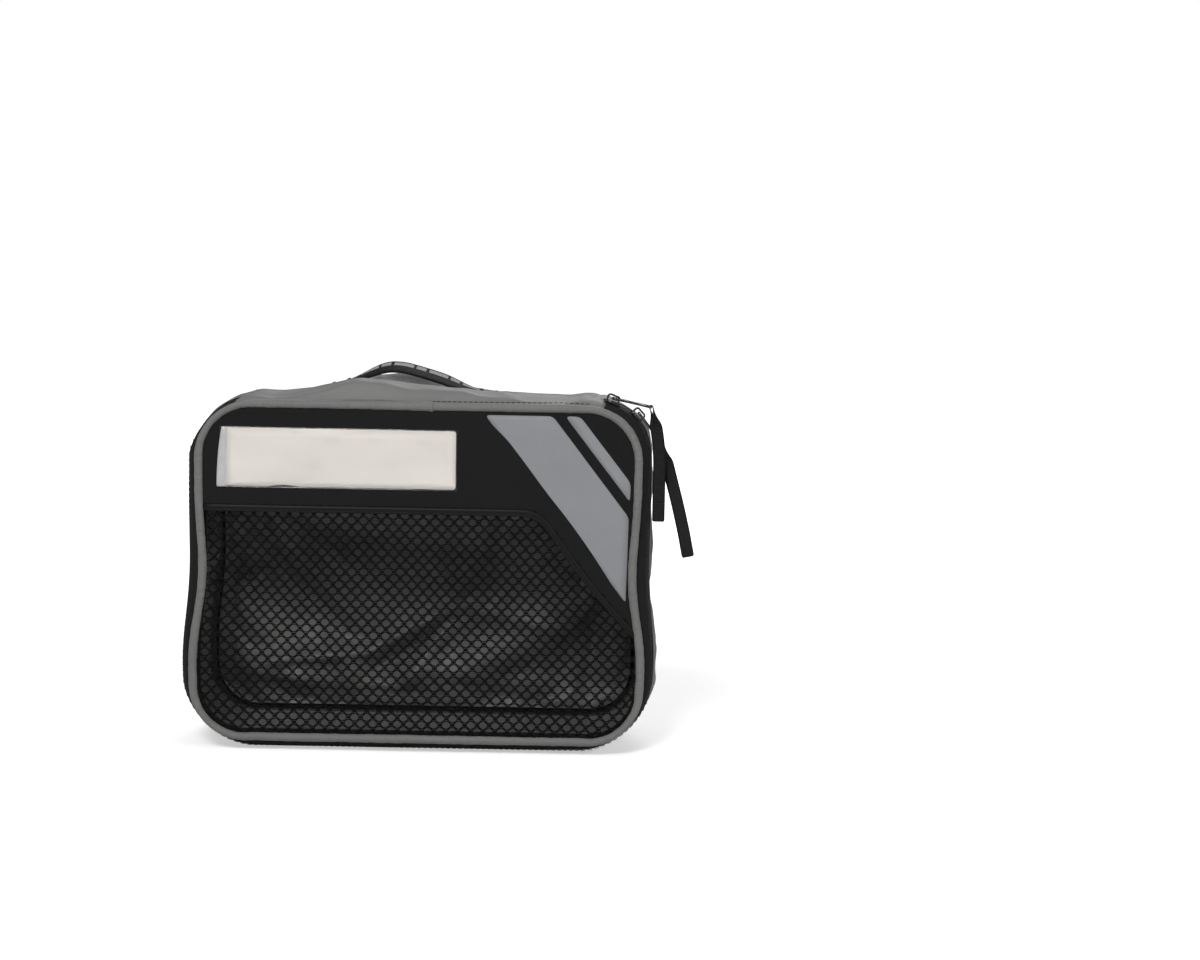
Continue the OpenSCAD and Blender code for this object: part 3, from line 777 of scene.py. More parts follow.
class Growth:
    """A node tree that lays a small shape at each point of a mesh."""

    def __init__(self, name, *numbers):
        self.tree = bpy.data.node_groups.new(name, "GeometryNodeTree")
        face = self.tree.interface
        kinds = [("Geometry", "Geometry"), *((label, "Float") for label in numbers), ("Material", "Material")]
        for label, kind in kinds:
            face.new_socket(label, in_out="INPUT", socket_type="NodeSocket" + kind)
        face.new_socket("Geometry", in_out="OUTPUT", socket_type="NodeSocketGeometry")
        self.given = self.tree.nodes.new("NodeGroupInput").outputs

    def put(self, kind, inputs=None, **settings):
        """The first output of a new node; each input takes a value or another node's output."""
        made = self.tree.nodes.new(kind)
        for key, value in settings.items():
            setattr(made, key, value)
        for key, value in (inputs or {}).items():
            if isinstance(value, bpy.types.NodeSocket):
                self.tree.links.new(value, made.inputs[key])
            else:
                made.inputs[key].default_value = value
        return made.outputs[0]

    def calc(self, operation, a, b=0.0):
        return self.put("ShaderNodeMath", {0: a, 1: b}, operation=operation)

    def vector(self, **axes):
        return self.put("ShaderNodeCombineXYZ", axes)

    def position(self):
        """The X, Y and Z of the points being shaped."""
        return self.put("ShaderNodeSeparateXYZ", {0: self.put("GeometryNodeInputPosition")}).node.outputs

    def moved(self, shape, **change):
        return self.put("GeometryNodeTransform", {"Geometry": shape, **change})

    def tube(self, curve, thickness, sides, caps=False):
        """Round thread along a curve."""
        profile = self.put("GeometryNodeCurvePrimitiveCircle",
                           {"Resolution": sides, "Radius": self.calc("MULTIPLY", thickness, 0.5)})
        return self.put("GeometryNodeCurveToMesh",
                        {"Curve": curve, "Profile Curve": profile, "Fill Caps": caps})

    def turned(self, along, axis):
        """The turn that lays X along one vector of the point and the given axis along its 'out'."""
        ways = [self.put("GeometryNodeInputNamedAttribute", {"Name": label}, data_type="FLOAT_VECTOR")
                for label in (along, "out")]
        x_way, out = (way.node.outputs["Attribute"] for way in ways)
        turn = self.put("FunctionNodeAlignRotationToVector", {"Vector": x_way}, axis="X")
        return self.put("FunctionNodeAlignRotationToVector", {"Rotation": turn, "Vector": out},
                        axis=axis, pivot_axis="X")

    def laid(self, shape, **turn):
        """The finished tree, with the shape on every point."""
        copies = self.put("GeometryNodeInstanceOnPoints",
                          {"Points": self.given["Geometry"], "Instance": shape, **turn})
        real = self.put("GeometryNodeRealizeInstances", {0: copies})
        smooth = self.put("GeometryNodeSetShadeSmooth", {0: real})
        dressed = self.put("GeometryNodeSetMaterial",
                           {"Geometry": smooth, "Material": self.given["Material"]})
        self.tree.links.new(dressed, self.tree.nodes.new("NodeGroupOutput").inputs["Geometry"])
        return self.tree


def thread_tree():
    """Lays a short bowed length of thread at each point, along its 'along', bowed along its 'out'."""
    g = Growth("thread_stitches", "Length", "Thickness", "Bow")
    line = g.put("GeometryNodeCurvePrimitiveLine", {"Start": (-0.5, 0, 0), "End": (0.5, 0, 0)})
    parts = g.put("GeometryNodeResampleCurve", {"Curve": line, "Count": 5})
    x = g.position()["X"]
    rise = g.calc("MULTIPLY", g.calc("SUBTRACT", 0.25, g.calc("MULTIPLY", x, x)), g.given["Bow"])
    bowed = g.put("GeometryNodeSetPosition", {"Geometry": parts, "Offset": g.vector(Z=rise)})
    sized = g.moved(bowed, Scale=g.vector(X=g.given["Length"], Y=1, Z=1))
    return g.laid(g.tube(sized, g.given["Thickness"], 6, caps=True), Rotation=g.turned("along", "Z"))


def grown(name, tree, points, vectors, inputs):
    """A mesh made by a node tree on loose points that carry the given vectors."""
    mesh = bpy.data.meshes.new(name)
    mesh.from_pydata(np.asarray(points, float).tolist(), [], [])
    for label, values in vectors.items():
        layer = mesh.attributes.new(label, "FLOAT_VECTOR", "POINT")
        layer.data.foreach_set("vector", np.asarray(values, np.float32).ravel())
    obj = bpy.data.objects.new(name, mesh)
    bpy.context.scene.collection.objects.link(obj)
    grow = obj.modifiers.new("grow", "NODES")
    grow.node_group = tree
    for item in tree.interface.items_tree:
        if item.in_out == "INPUT" and item.name in inputs:
            grow[item.identifier] = inputs[item.name]
    return finished(obj)


def sewing_thread(name, color):
    return clouded(name, color, 0.6, 3 * mm, 0.8, 1.2, Specular_IOR_Level=0.25)


threads = thread_tree()
black_thread = sewing_thread("black_thread", (0.011, 0.011, 0.0115))
tack_points, tack_along = [], []
for x1, x2 in tabs:
    for share in (0.22, 0.78):
        x = x1 + share * (x2 - x1)
        for k in range(36):
            tack_points.append((x, (k - 17.5) / 17.5 * 8.6 * mm, handle_height(x) + 0.2 * mm + fold_t))
            tack_along.append((1, 0.35 * (-1) ** k, (handle_height(x + mm) - handle_height(x)) / mm))
bartacks = grown("bartack_threads", threads, tack_points,
                 {"along": tack_along, "out": [(0, 0, 1)] * len(tack_points)},
                 {"Length": 1.7 * mm, "Thickness": 0.42 * mm, "Bow": 0.6 * mm, "Material": black_thread})
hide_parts("handle_bartacks")
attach(bartacks, "case")

# ---------- Zip, case half ----------
# Half of a reverse coil zip: black woven tape with its coil on the inside, so that only two
# smooth ribs show outside. It is sewn under the folded edge of the side gusset.

zip_y = (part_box("lid_zip_tape")[1].y + zip_low.y) / 2
tape_t = 0.7 * mm
tape_finish = black_tape("zip_tape_cloth", 0.8 * mm, (0.0075, 0.0075, 0.008))
zip_places = stations(zip_start_s, zip_stop_s, 2.5 * mm)


def rib_over_coil(y):
    return 0.35 * mm * math.exp(-((abs(y - zip_y) - 1.7 * mm) / (0.7 * mm)) ** 2)


def tape_skin(name, ys, under, seed):
    """A closed strip of tape along the zip; under(y) says how far it lies below the swollen sides."""
    outer = [(swell(y) - under(y) + rib_over_coil(y), y) for y in ys]
    inner = [(n - tape_t, y) for n, y in reversed(outer)]
    grid = swept(zip_places, outer + inner)
    middle = swept(zip_places, [(0, y) for n, y in outer + inner])
    out = grid - middle
    out /= np.linalg.norm(out, axis=2, keepdims=True)
    wander = rough(grid[:, :1], 40 * mm, seed) * 0.35 * mm
    return closed_skin(name, grid + out * wander[..., None], zip_places,
                       length_across(outer + inner + outer[:1]), tape_finish)


zip_gap = 0.06 * mm
case_ys = [zip_y + zip_gap + k * mm
           for k in (0, 0.5, 1.0, 1.5, 2.0, 2.5, 3.2, 4.5, 7, 10, 12, 13.5, 15.5, 17)]


def under_gusset(y):
    """The tape dips under the gusset's folded edge and on to its own far edge."""
    return np.interp(y, [tape_end_y - 2.2 * mm, tape_end_y - 2 * mm, case_ys[-1]],
                     [0.1 * mm, 0.75 * mm, 1.9 * mm])


case_tape = tape_skin("case_tape", case_ys, under_gusset, 21)
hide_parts("case_zip_tape")
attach(case_tape, "case")


def coil_tree():
    """A flat turn of nylon at each point, lying across the zip, as one coil runs along it."""
    g = Growth("zip_coil_turns", "Width", "Height", "Wire")
    loop = g.put("GeometryNodeCurvePrimitiveCircle", {"Resolution": 10, "Radius": 0.5})
    sized = g.moved(loop, Scale=g.vector(X=g.given["Width"], Y=g.given["Height"], Z=1))
    return g.laid(g.tube(sized, g.given["Wire"], 5), Rotation=g.turned("across", "Y"))


coil_turns = coil_tree()
nylon = clouded("coil_nylon", (0.009, 0.009, 0.0095), 0.38, 12 * mm, 0.8, 1.3, Specular_IOR_Level=0.4)
coil_pitch, coil_w, coil_h, wire_t = 1.5 * mm, 2.5 * mm, 1.3 * mm, 0.6 * mm


def zip_coil(name, side, phase):
    """One coil under its tape, on the given side of the zip's middle."""
    places = stations(zip_start_s, zip_stop_s, coil_pitch)[:-1] + phase * coil_pitch
    y = zip_y + side * (coil_w / 2 - 0.25 * mm)
    low = swept(places, [(zip_n - tape_t - coil_h / 2 - 0.1 * mm, y)])[:, 0]
    high = swept(places, [(zip_n, y)])[:, 0]
    out = (high - low) / np.linalg.norm(high - low, axis=1, keepdims=True)
    along = np.cross(out, (0, 1, 0))
    across = np.array((0, 1, 0)) + 0.22 * along
    return grown(name, coil_turns, settled(low), {"across": across, "out": out},
                 {"Width": coil_w, "Height": coil_h, "Wire": wire_t, "Material": nylon})


case_coil = zip_coil("case_coil", 1, 0.25)
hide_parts("case_zip_coil")
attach(case_coil, "case")


def seam_stitches(name, places, n_at, y, step, length, thickness, bow, finish):
    """A row of stitches along the cube at depth y, lying n_at(station) out."""
    spots = np.arange(places[0], places[1], step)
    points, ahead, core = (np.concatenate([swept([s + on], [(n_at(s) * share, y)])[0] for s in spots])
                           for on, share in ((0, 1), (0.1 * mm, 1), (0, 0)))
    out = (points - core) / np.linalg.norm(points - core, axis=1, keepdims=True)
    along = (ahead - points) / np.linalg.norm(ahead - points, axis=1, keepdims=True)
    return grown(name, threads, settled(points), {"along": along, "out": out},
                 {"Length": length, "Thickness": thickness, "Bow": bow, "Material": finish})


grey_thread = sewing_thread("grey_thread", (0.12, 0.125, 0.128))
case_stitches = seam_stitches("case_zip_stitches", (zip_start_s + 4 * mm, zip_stop_s - 4 * mm),
                              lambda s: swell(tape_end_y) + 0.05 * mm, tape_end_y - 0.2 * mm,
                              3.0 * mm, 2.3 * mm, 0.28 * mm, 0.12 * mm, grey_thread)
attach(case_stitches, "case")

# ---------- Net ----------
# Knitted polyester net, held in tension between the yoke's hem and the piping. Each opening is
# edged by its own thread, and the threads are knotted together where four openings meet.

yoke_low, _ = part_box("yoke_panel")
_, hem_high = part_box("yoke_hem")
side_x = corner_x + seam_n
hem_w = 3.6 * mm
edge_z = hem_high.z + 2.6 * mm
turn_x = front_high.x - 52 * mm
side_z = yoke_low.z + 0.5 * mm
front_crown = 1.4 * mm


def front_face(x, z):
    """Depth of the front panel's face: nearly flat, crowned a little, with soft slow waves."""
    x, z = np.asarray(x, float), np.asarray(z, float)
    crown = np.clip((1 - (x / side_x) ** 2) * (1 - ((z - mid_z) / (mid_z - front_low.z)) ** 2), 0, 1)
    waves = np.sin(x * 61 + z * 47) + np.sin(x * 29 - z * 83 + 1.7) + 0.6 * np.sin(x * 97 + z * 13 + 0.6)
    return front_seam_y - 0.2 * mm - front_crown * crown ** 0.8 - 0.22 * mm * waves * np.sqrt(crown)


def yoke_edge(drop):
    """The yoke's lower edge moved down by drop, from the left seam to the right seam, its bend rounded."""
    slope = (edge_z - side_z) / (side_x - turn_x)
    lower = edge_z - drop
    bend_x = turn_x - drop / slope * 0.55
    end = np.array((side_x, lower - slope * (side_x - bend_x)))
    bend, start, round_off = np.array((bend_x, lower)), np.array((-side_x, lower)), 9 * mm
    before = bend + (start - bend) / np.linalg.norm(start - bend) * round_off
    after = bend + (end - bend) / np.linalg.norm(end - bend) * round_off
    arc = [(1 - t) ** 2 * before + 2 * t * (1 - t) * bend + t * t * after for t in np.linspace(0, 1, 9)]
    level = [start + (before - start) * k / 24 for k in range(24)]
    down = [after + (end - after) * k / 14 for k in range(1, 15)]
    return np.array(level + arc + down)


def seam_station(side, z):
    """The station on the straight left (-1) or right (1) side at height z."""
    s = corner_x + math.pi / 2 * seam_n + (mid_z + corner_dz - z)
    return s if side > 0 else seam_length - s


def net_outline(n, lift):
    """The net's outline: along the yoke's edge, then down the right, along the bottom and up the left."""
    edge = yoke_edge(-lift)
    edge = edge[np.abs(edge[:, 0]) <= corner_x + n]
    start, end = seam_station(1, edge[-1][1]) + 2 * mm, seam_station(-1, edge[0][1]) - 2 * mm
    return np.concatenate([edge, around(start, end, n)])


def net_tree():
    """A thread ring round each opening, and a knot beside each, on the points given."""
    g = Growth("net_cells", "Opening Width", "Opening Height", "Thread", "Knot Width", "Knot Height",
               "Cell Pitch")
    ring = g.put("GeometryNodeCurvePrimitiveCircle", {"Resolution": 12, "Radius": 1})
    place = g.position()
    squared = {axis: g.calc("MULTIPLY", g.calc("POWER", g.calc("ABSOLUTE", place[axis]), 1.18),
                            g.calc("SIGN", place[axis])) for axis in "XY"}
    opening = g.put("GeometryNodeSetPosition", {"Geometry": ring, "Position": g.vector(**squared)})
    half_w, half_h = (g.calc("MULTIPLY", g.given["Opening " + side], 0.5) for side in ("Width", "Height"))
    edged = g.tube(g.moved(opening, Scale=g.vector(X=half_w, Y=half_h, Z=1)), g.given["Thread"], 5)
    ball = g.put("GeometryNodeMeshUVSphere", {"Segments": 6, "Rings": 4, "Radius": 0.5})
    knot = g.moved(ball, Translation=g.vector(X=g.calc("MULTIPLY", g.given["Cell Pitch"], 0.5)),
                   Scale=g.vector(X=g.given["Knot Width"], Y=g.given["Knot Height"],
                                  Z=g.calc("MULTIPLY", g.given["Thread"], 1.25)))
    cell = g.put("GeometryNodeJoinGeometry", {0: knot})
    g.tree.links.new(edged, cell.node.inputs[0])
    return g.laid(g.moved(cell, Rotation=(math.pi / 2, 0, 0)))


def net_thread():
    """Textured black polyester thread."""
    f = Finish("net_thread", (0.004, 0.004, 0.004), 0.65, Specular_IOR_Level=0.08)
    ply = f.cloudy(0.5 * mm, 1.0)
    f.tint(ply, 0.75, 1.35)
    f.relief((ply, 0.12 * mm))
    return f.material


pitch_x, pitch_z = 6.2 * mm, 6.55 * mm
net_area = net_outline(seam_n - 0.6 * mm, 2.2 * mm)
openings = []
for k, z in enumerate(np.arange(front_low.z, edge_z + 3 * mm, pitch_z / 2)):
    for x in np.arange(-side_x + (k % 2) * pitch_x / 2, side_x, pitch_x):
        openings.append((x, z))
openings = np.array(openings)
openings = openings[within(openings, net_area)]
cells = np.column_stack([openings[:, 0], np.zeros(len(openings)), openings[:, 1]])
net = grown("net_threads", net_tree(), cells, {},
            {"Opening Width": 4.7 * mm, "Opening Height": 4.2 * mm, "Thread": 0.62 * mm,
             "Knot Width": 1.7 * mm, "Knot Height": 1.9 * mm, "Cell Pitch": pitch_x,
             "Material": net_thread()})
net_points = points_of(net)
warp = rough(net_points * (1, 0, 1), 30 * mm, 33)[:, None] * np.array((0.5 * mm, 0, 0.35 * mm))
net_points = net_points + warp
net_points[:, 1] += front_face(net_points[:, 0], net_points[:, 2]) + 0.9 * mm
reshape(net, settled(net_points))
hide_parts("mesh_panel")
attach(net, "lid")

# ---------- Yoke, hem and printed bands ----------
# Smooth black coated cloth over the upper third and the right shoulder. Its lower edge is
# turned under and stitched down over the net. Two plain grey bands are heat-pressed on it.


def coated_cloth():
    """Black cloth with a thin rubbery coat: smooth, with a soft broad sheen and a fine grain."""
    f = Finish("coated_cloth", (0.0065, 0.0066, 0.0068), 0.48, Specular_IOR_Level=0.14)
    grain = f.cloudy(0.9 * mm, 2.0)
    f.tint(f.cloudy(50 * mm), 0.85, 1.2)
    rough_range = f.node("MapRange", Value=f.cloudy(18 * mm), To_Min=0.4, To_Max=0.54)
    f.plug(f.shader.inputs["Roughness"], rough_range.outputs["Result"])
    f.relief((f.cloudy(14 * mm, 2.0), 0.25 * mm), (grain, 0.02 * mm))
    return f.material


def on_front(lift):
    """Depth of something that lies that far in front of the panel's face."""
    return lambda x, z: front_face(x, z) - lift


coated = coated_cloth()
lower_edge = yoke_edge(0.5 * mm)
over_top = around(seam_station(-1, lower_edge[0][1]) + 2 * mm,
                  seam_length + seam_station(1, lower_edge[-1][1]) - 2 * mm, seam_n)
yoke_outline = np.concatenate([over_top, lower_edge[::-1]])
yoke = cut_piece("yoke_cloth", yoke_outline, 3.2 * mm, on_front(0), coated)
settle(yoke)
smoothed(yoke)
thicken(yoke, 0.5 * mm)
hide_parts("yoke_panel")
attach(yoke, "lid")

hem_profile = [(0.0, 0.05), (0.06, 0.42), (0.3, 0.6), (0.62, 0.6), (0.74, 0.34), (0.84, 0.5), (0.95, 0.42),
               (1.0, 0.05), (1.0, -0.3), (0.0, -0.3)]
hem_rows = []
upper, lower = yoke_edge(0), yoke_edge(hem_w)
for a, b in zip(upper, lower):
    row = []
    for share, height in hem_profile:
        x, z = a + (b - a) * share
        row.append((x, float(front_face(x, z)) - height * mm, z))
    hem_rows.append(row)
hem = closed_skin("yoke_hem_fold", np.array(hem_rows), length_across([tuple(p) for p in upper]),
                  np.arange(11) * 0.5 * mm, coated)
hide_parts("yoke_hem")
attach(hem, "lid")


def stitch_line(name, line, lift, step, length, thickness, finish):
    """Stitches along a line of (x, z) points on the front panel."""
    lengths = length_across([tuple(p) for p in line])
    spots = np.arange(step, lengths[-1] - step, step)

    def on_line(places):
        x, z = np.interp(places, lengths, line[:, 0]), np.interp(places, lengths, line[:, 1])
        return settled(np.column_stack([x, front_face(x, z) - lift, z]))

    points, ahead = on_line(spots), on_line(spots + 0.5 * mm)
    along = (ahead - points) / np.linalg.norm(ahead - points, axis=1, keepdims=True)
    return grown(name, threads, points, {"along": along, "out": [(0, -1, 0)] * len(points)},
                 {"Length": length, "Thickness": thickness, "Bow": 0.3 * mm, "Material": finish})


groove = upper + (lower - upper) * 0.74
hem_stitches = stitch_line("hem_stitches", groove[1:-1], 0.36 * mm, 2.9 * mm, 2.2 * mm, 0.34 * mm,
                           black_thread)
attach(hem_stitches, "lid")


def clipped(polygon, outline):
    """The part of a convex polygon inside a convex outline whose points run clockwise."""
    shape = [np.array(p) for p in polygon]
    for a, b in zip(outline, np.roll(outline, -1, axis=0)):
        side = [(b - a)[0] * (p - a)[1] - (b - a)[1] * (p - a)[0] for p in shape]
        kept = []
        for p, q, side_p, side_q in zip(shape, shape[1:] + shape[:1], side, side[1:] + side[:1]):
            if side_p <= 1e-12:
                kept.append(p)
            if (side_p <= 1e-12) != (side_q <= 1e-12):
                kept.append(p + (q - p) * side_p / (side_p - side_q))
        shape = kept
    return np.array([p for p, q in zip(shape, shape[1:] + shape[:1]) if math.dist(p, q) > 0.01 * mm])


def rounded(polygon, r, steps=5):
    """The polygon with its sharp corners rounded off."""
    result = []
    for before, p, after in zip(np.roll(polygon, 1, axis=0), polygon, np.roll(polygon, -1, axis=0)):
        a, b = before - p, after - p
        la, lb = np.linalg.norm(a), np.linalg.norm(b)
        if la < 1e-9 or lb < 1e-9:
            continue
        if abs(a @ b / (la * lb)) > 0.97:
            result.append(p)
            continue
        cut_a, cut_b = p + a / la * min(r, la / 2), p + b / lb * min(r, lb / 2)
        result += [(1 - t) ** 2 * cut_a + 2 * t * (1 - t) * p + t * t * cut_b
                   for t in np.linspace(0, 1, steps)]
    return np.array(result)


slant = np.array((turn_x - side_x, edge_z - side_z))
slant /= np.linalg.norm(slant)
band_in, band_w, band_space, narrow_w = 7 * mm, 27 * mm, 5 * mm, 6 * mm
across_slant = np.array((slant[1], -slant[0]))
band_edge = panel_outline(seam_n - pipe_r - 1.6 * mm)
film = clouded("pressed_film", (0.236, 0.241, 0.252), 0.5, 16 * mm, 0.93, 1.06,
               (0.7 * mm, 2.0, 0.02 * mm), Specular_IOR_Level=0.25)
for label, start, width in (("broad", band_in, band_w), ("narrow", band_in + band_w + band_space, narrow_w)):
    foot = np.array((side_x, side_z)) + across_slant * start
    quad = [foot - slant * 60 * mm, foot + slant * 250 * mm, foot + slant * 250 * mm + across_slant * width,
            foot - slant * 60 * mm + across_slant * width]
    shape = rounded(clipped(quad, band_edge), 2.5 * mm)
    band = cut_piece("printed_band_" + label, shape, 3.2 * mm, on_front(0.12 * mm), film)
    settle(band)
    thicken(band, 0.18 * mm)
    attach(band, "lid")
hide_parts("print_bands")

# ---------- Label pocket ----------
# A white card behind a clear vinyl window. The window is welded to the yoke above, below and at the
# right, and its left end is turned back into a lip, coloured light grey as a painted highlight of the bent
# vinyl.

card_low, card_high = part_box("label_card")
window_low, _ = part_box("label_window")
card_left, card_right = card_low.x - 1.6 * mm, card_high.x
card_foot, card_head = card_low.z + 0.2 * mm, card_high.z + 0.3 * mm
card_box = np.array([(card_left, card_foot), (card_left, card_head), (card_right, card_head),
                     (card_right, card_foot)])
white_card = clouded("white_card", (0.714, 0.676, 0.628), 0.55, 30 * mm, 0.97, 1.02,
                     (0.6 * mm, 2.0, 0.015 * mm), Specular_IOR_Level=0.3)
card = cut_piece("address_card", rounded(card_box, 1.5 * mm), 4 * mm, on_front(0.45 * mm), white_card)
settle(card)
thicken(card, 0.2 * mm)
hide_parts("label_card")
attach(card, "lid")


def clear_vinyl():
    """Clear soft vinyl: it mirrors a little of the light and lets all the rest straight through."""
    f = Finish("clear_vinyl", (0.95, 0.96, 0.965), 0.14, Metallic=1.0, Alpha=0.04)
    f.relief((f.cloudy(11 * mm, 0.0), 0.5 * mm))
    return f.material


film_lift, weld_lift, film_t = 0.64 * mm, 0.45 * mm, 0.1 * mm
film_right, film_foot, film_head = card_right + 0.7 * mm, card_foot - 0.7 * mm, card_head + 0.7 * mm
weld = np.array((0, 0.7, 1.4, 2.2)) * mm
xs = np.concatenate([[window_low.x + 2 * mm],
                     np.arange(window_low.x + 4 * mm, film_right - 2.4 * mm, 3 * mm),
                     film_right - weld[::-1]])
zs = np.concatenate([film_foot + weld, np.linspace(film_foot + 4 * mm, film_head - 4 * mm, 9),
                     film_head - weld[::-1]])
window_grid = []
for x in xs:
    row = []
    for z in zs:
        edge = min(z - film_foot, film_head - z, film_right - x)
        raised = eased(edge, 0, 3 * mm)
        row.append((x, float(front_face(x, z)) - weld_lift - (film_lift - weld_lift) * raised, z))
    window_grid.append(row)
window = lofted("window_film", settled(np.array(window_grid)), xs, zs, clear_vinyl())
thicken(window, film_t)
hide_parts("label_window")
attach(window, "lid")

lip_rows = []
for z in np.linspace(film_foot + 0.2 * mm, film_head - 0.3 * mm, 26):
    share = (z - film_foot) / (film_head - film_foot)
    left = window_low.x + 0.6 * mm + 2.6 * mm * share ** 2
    right = card_left + 0.4 * mm + 0.5 * mm * share
    row = []
    for t in np.arange(11) / 10:
        x = left + (right - left) * t
        rise = 0.3 * mm + 0.8 * mm * math.sin(math.pi * min(1, 0.25 + 0.75 * t))
        row.append((x, float(front_face(x, z)) - rise, z))
    lip_rows.append(row + [(x, float(front_face(x, z)) - 0.15 * mm, z) for x, _, z in reversed(row)])
# The lip's opaque light grey, clouded lighter and darker, is a painted highlight standing in for light
# mirrored by the bent clear vinyl.
lip_vinyl_painted_highlight = clouded("lip_vinyl_painted_highlight", (0.46, 0.46, 0.46), 0.2, 8 * mm, 0.8, 1.15,
                        Specular_IOR_Level=0.6, Coat_Weight=0.6, Coat_Roughness=0.06)
lip = closed_skin("window_lip", np.array(lip_rows), np.arange(26) * mm, np.arange(23) * 0.5 * mm,
                  lip_vinyl_painted_highlight)
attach(lip, "lid")

# ---------- Front piping, binding and the front half of the zip ----------
# The same piping runs round the front panel; its ends lap near the middle of the top. Behind it
# the other half of the zip is sewn in, with the folded binding over the raw edges inside.

front_piping = face_out(piping_tube("front_piping_cloth", front_seam_y, 7 * mm, 41))
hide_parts("front_piping")
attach(front_piping, "lid")
front_binding = binding_tape("front_binding_tape", front_seam_y + 0.6 * mm, 1, 1.4 * mm,
                             math.radians(76), 43)
face_out(front_binding)
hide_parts("front_binding")
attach(front_binding, "lid")

lid_ys = [front_seam_y + pipe_r * 0.6, -35.4 * mm, -34.3 * mm, -33 * mm, -31.5 * mm] + \
    [zip_y - zip_gap - k * mm for k in (4.2, 3.2, 2.5, 2.0, 1.5, 1.0, 0.5, 0)]
lid_tape = tape_skin("lid_tape", lid_ys, lambda y: 0.0, 21)
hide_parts("lid_zip_tape")
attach(lid_tape, "lid")
lid_coil = zip_coil("lid_coil", -1, 0.75)
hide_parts("lid_zip_coil")
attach(lid_coil, "lid")
lid_stitches = seam_stitches("lid_zip_stitches", (zip_start_s + 3 * mm, zip_stop_s - 3 * mm),
                             lambda s: swell(-31.4 * mm) + 0.05 * mm, -31.4 * mm,
                             3.0 * mm, 2.3 * mm, 0.3 * mm, 0.15 * mm, black_thread)
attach(lid_stitches, "lid")

# Short black stitches laid in the groove between the piping and the top stand for the seam and also paint the
# groove's shade line.
seam_surface = top_gusset.evaluated_get(bpy.context.evaluated_depsgraph_get())
seam_spots, seam_faces = [], []
for k in range(30):
    x = 7 * mm + k * 2.7 * mm
    for rise in (0.1, 0.5, 0.9, 1.4):
        hit, point, face, _ = seam_surface.ray_cast((x, -0.09, front_high.z + rise * mm), (0, 1, 0))
        if hit and point[1] < -30 * mm:
            seam_spots.append(tuple(point))
            seam_faces.append(tuple(face))
            break
top_stitches_and_shade = grown("top_seam_stitches_and_shade", threads, seam_spots,
                     {"along": [(1, 0, 0)] * len(seam_spots), "out": seam_faces},
                     {"Length": 1.9 * mm, "Thickness": 0.5 * mm, "Bow": 0.1 * mm, "Material": black_thread})
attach(top_stitches_and_shade, "case")

# ---------- Sliders ----------
# Two die-cast zinc sliders in black enamel stand head to head near the top right corner. Each
# has a shield-shaped outer plate, a bridge for its puller, a post and an inner plate.

enamel = clouded("black_enamel", (0.010, 0.010, 0.0108), 0.24, 3 * mm, 0.8, 1.3,
                 (1.6 * mm, 1.0, 0.03 * mm), Specular_IOR_Level=0.5, Coat_Weight=0.4, Coat_Roughness=0.12)


def on_zip(angle, out, turn=0.0):
    """A frame on the corner at that angle: its third axis points outwards, its first to the back."""
    a, b = math.radians(angle), math.radians(angle - turn)
    x, z = corner_x + (zip_n + out) * math.cos(a), mid_z + corner_dz + (zip_n + out) * math.sin(a)
    z -= corner_droop * float(eased(a, math.radians(40), math.radians(76)))
    return Matrix(((0, -math.sin(b), math.cos(b), x), (1, 0, 0, zip_y),
                   (0, math.cos(b), math.sin(b), z), (0, 0, 0, 1)))


def stamped(name, outlines, thickness, edge, material, place):
    """A plate cut along outlines of (across, along) points, the inner ones holes, its edges rounded."""
    curve = bpy.data.curves.new(name, "CURVE")
    curve.dimensions, curve.fill_mode = "2D", "BOTH"
    for outline in outlines:
        spline = curve.splines.new("POLY")
        spline.points.add(len(outline) - 1)
        spline.points.foreach_set("co", [v for p in outline for v in (p[0], p[1], 0, 1)])
        spline.use_cyclic_u = True
    curve.extrude, curve.bevel_depth, curve.bevel_resolution = thickness / 2 - edge, edge, 2
    curve.offset = -edge
    drawn = bpy.data.objects.new(name + "_outline", curve)
    bpy.context.scene.collection.objects.link(drawn)
    mesh = bpy.data.meshes.new_from_object(drawn.evaluated_get(bpy.context.evaluated_depsgraph_get()))
    bpy.data.objects.remove(drawn)
    mesh.transform(place)
    mesh.shade_smooth()
    mesh.materials.clear()
    mesh.materials.append(material)
    mesh.name = name
    return mesh


def joined(name, meshes):
    """One object out of several meshes, its sharp edges kept sharp."""
    work = bmesh.new()
    for mesh in meshes:
        work.from_mesh(mesh)
    bmesh.ops.remove_doubles(work, verts=work.verts, dist=0.002 * mm)
    bmesh.ops.recalc_face_normals(work, faces=work.faces)
    mesh = bpy.data.meshes.new(name)
    work.to_mesh(mesh)
    work.free()
    mesh.shade_smooth()
    mesh.set_sharp_from_angle(angle=math.radians(40))
    mesh.materials.append(meshes[0].materials[0])
    obj = bpy.data.objects.new(name, mesh)
    bpy.context.scene.collection.objects.link(obj)
    return obj


def bar_mesh(path, wide, thick, material, place):
    """A flat bar bent along a path of (out, along) points, wide across the zip."""
    rows = []
    for k, (x, z) in enumerate(path):
        (x1, z1), (x2, z2) = path[max(0, k - 1)], path[min(len(path) - 1, k + 1)]
        length = math.hypot(x2 - x1, z2 - z1)
        nx, nz = (z2 - z1) / length, -(x2 - x1) / length
        ring = []
        for a in (math.tau * (i + 0.5) / 12 for i in range(12)):
            across = wide / 2 * math.copysign(abs(math.cos(a)) ** 0.4, math.cos(a))
            lift = thick / 2 * math.copysign(abs(math.sin(a)) ** 0.5, math.sin(a))
            ring.append((across, z + nz * lift, x + nx * lift))
        rows.append(ring)
    grid = with_ends(np.array(rows))
    obj = lofted("bar", grid, np.arange(len(grid)) * mm, np.arange(13) * 0.5 * mm, material, loop_v=True)
    mesh = obj.data
    bpy.data.objects.remove(obj)
    mesh.transform(place)
    return mesh


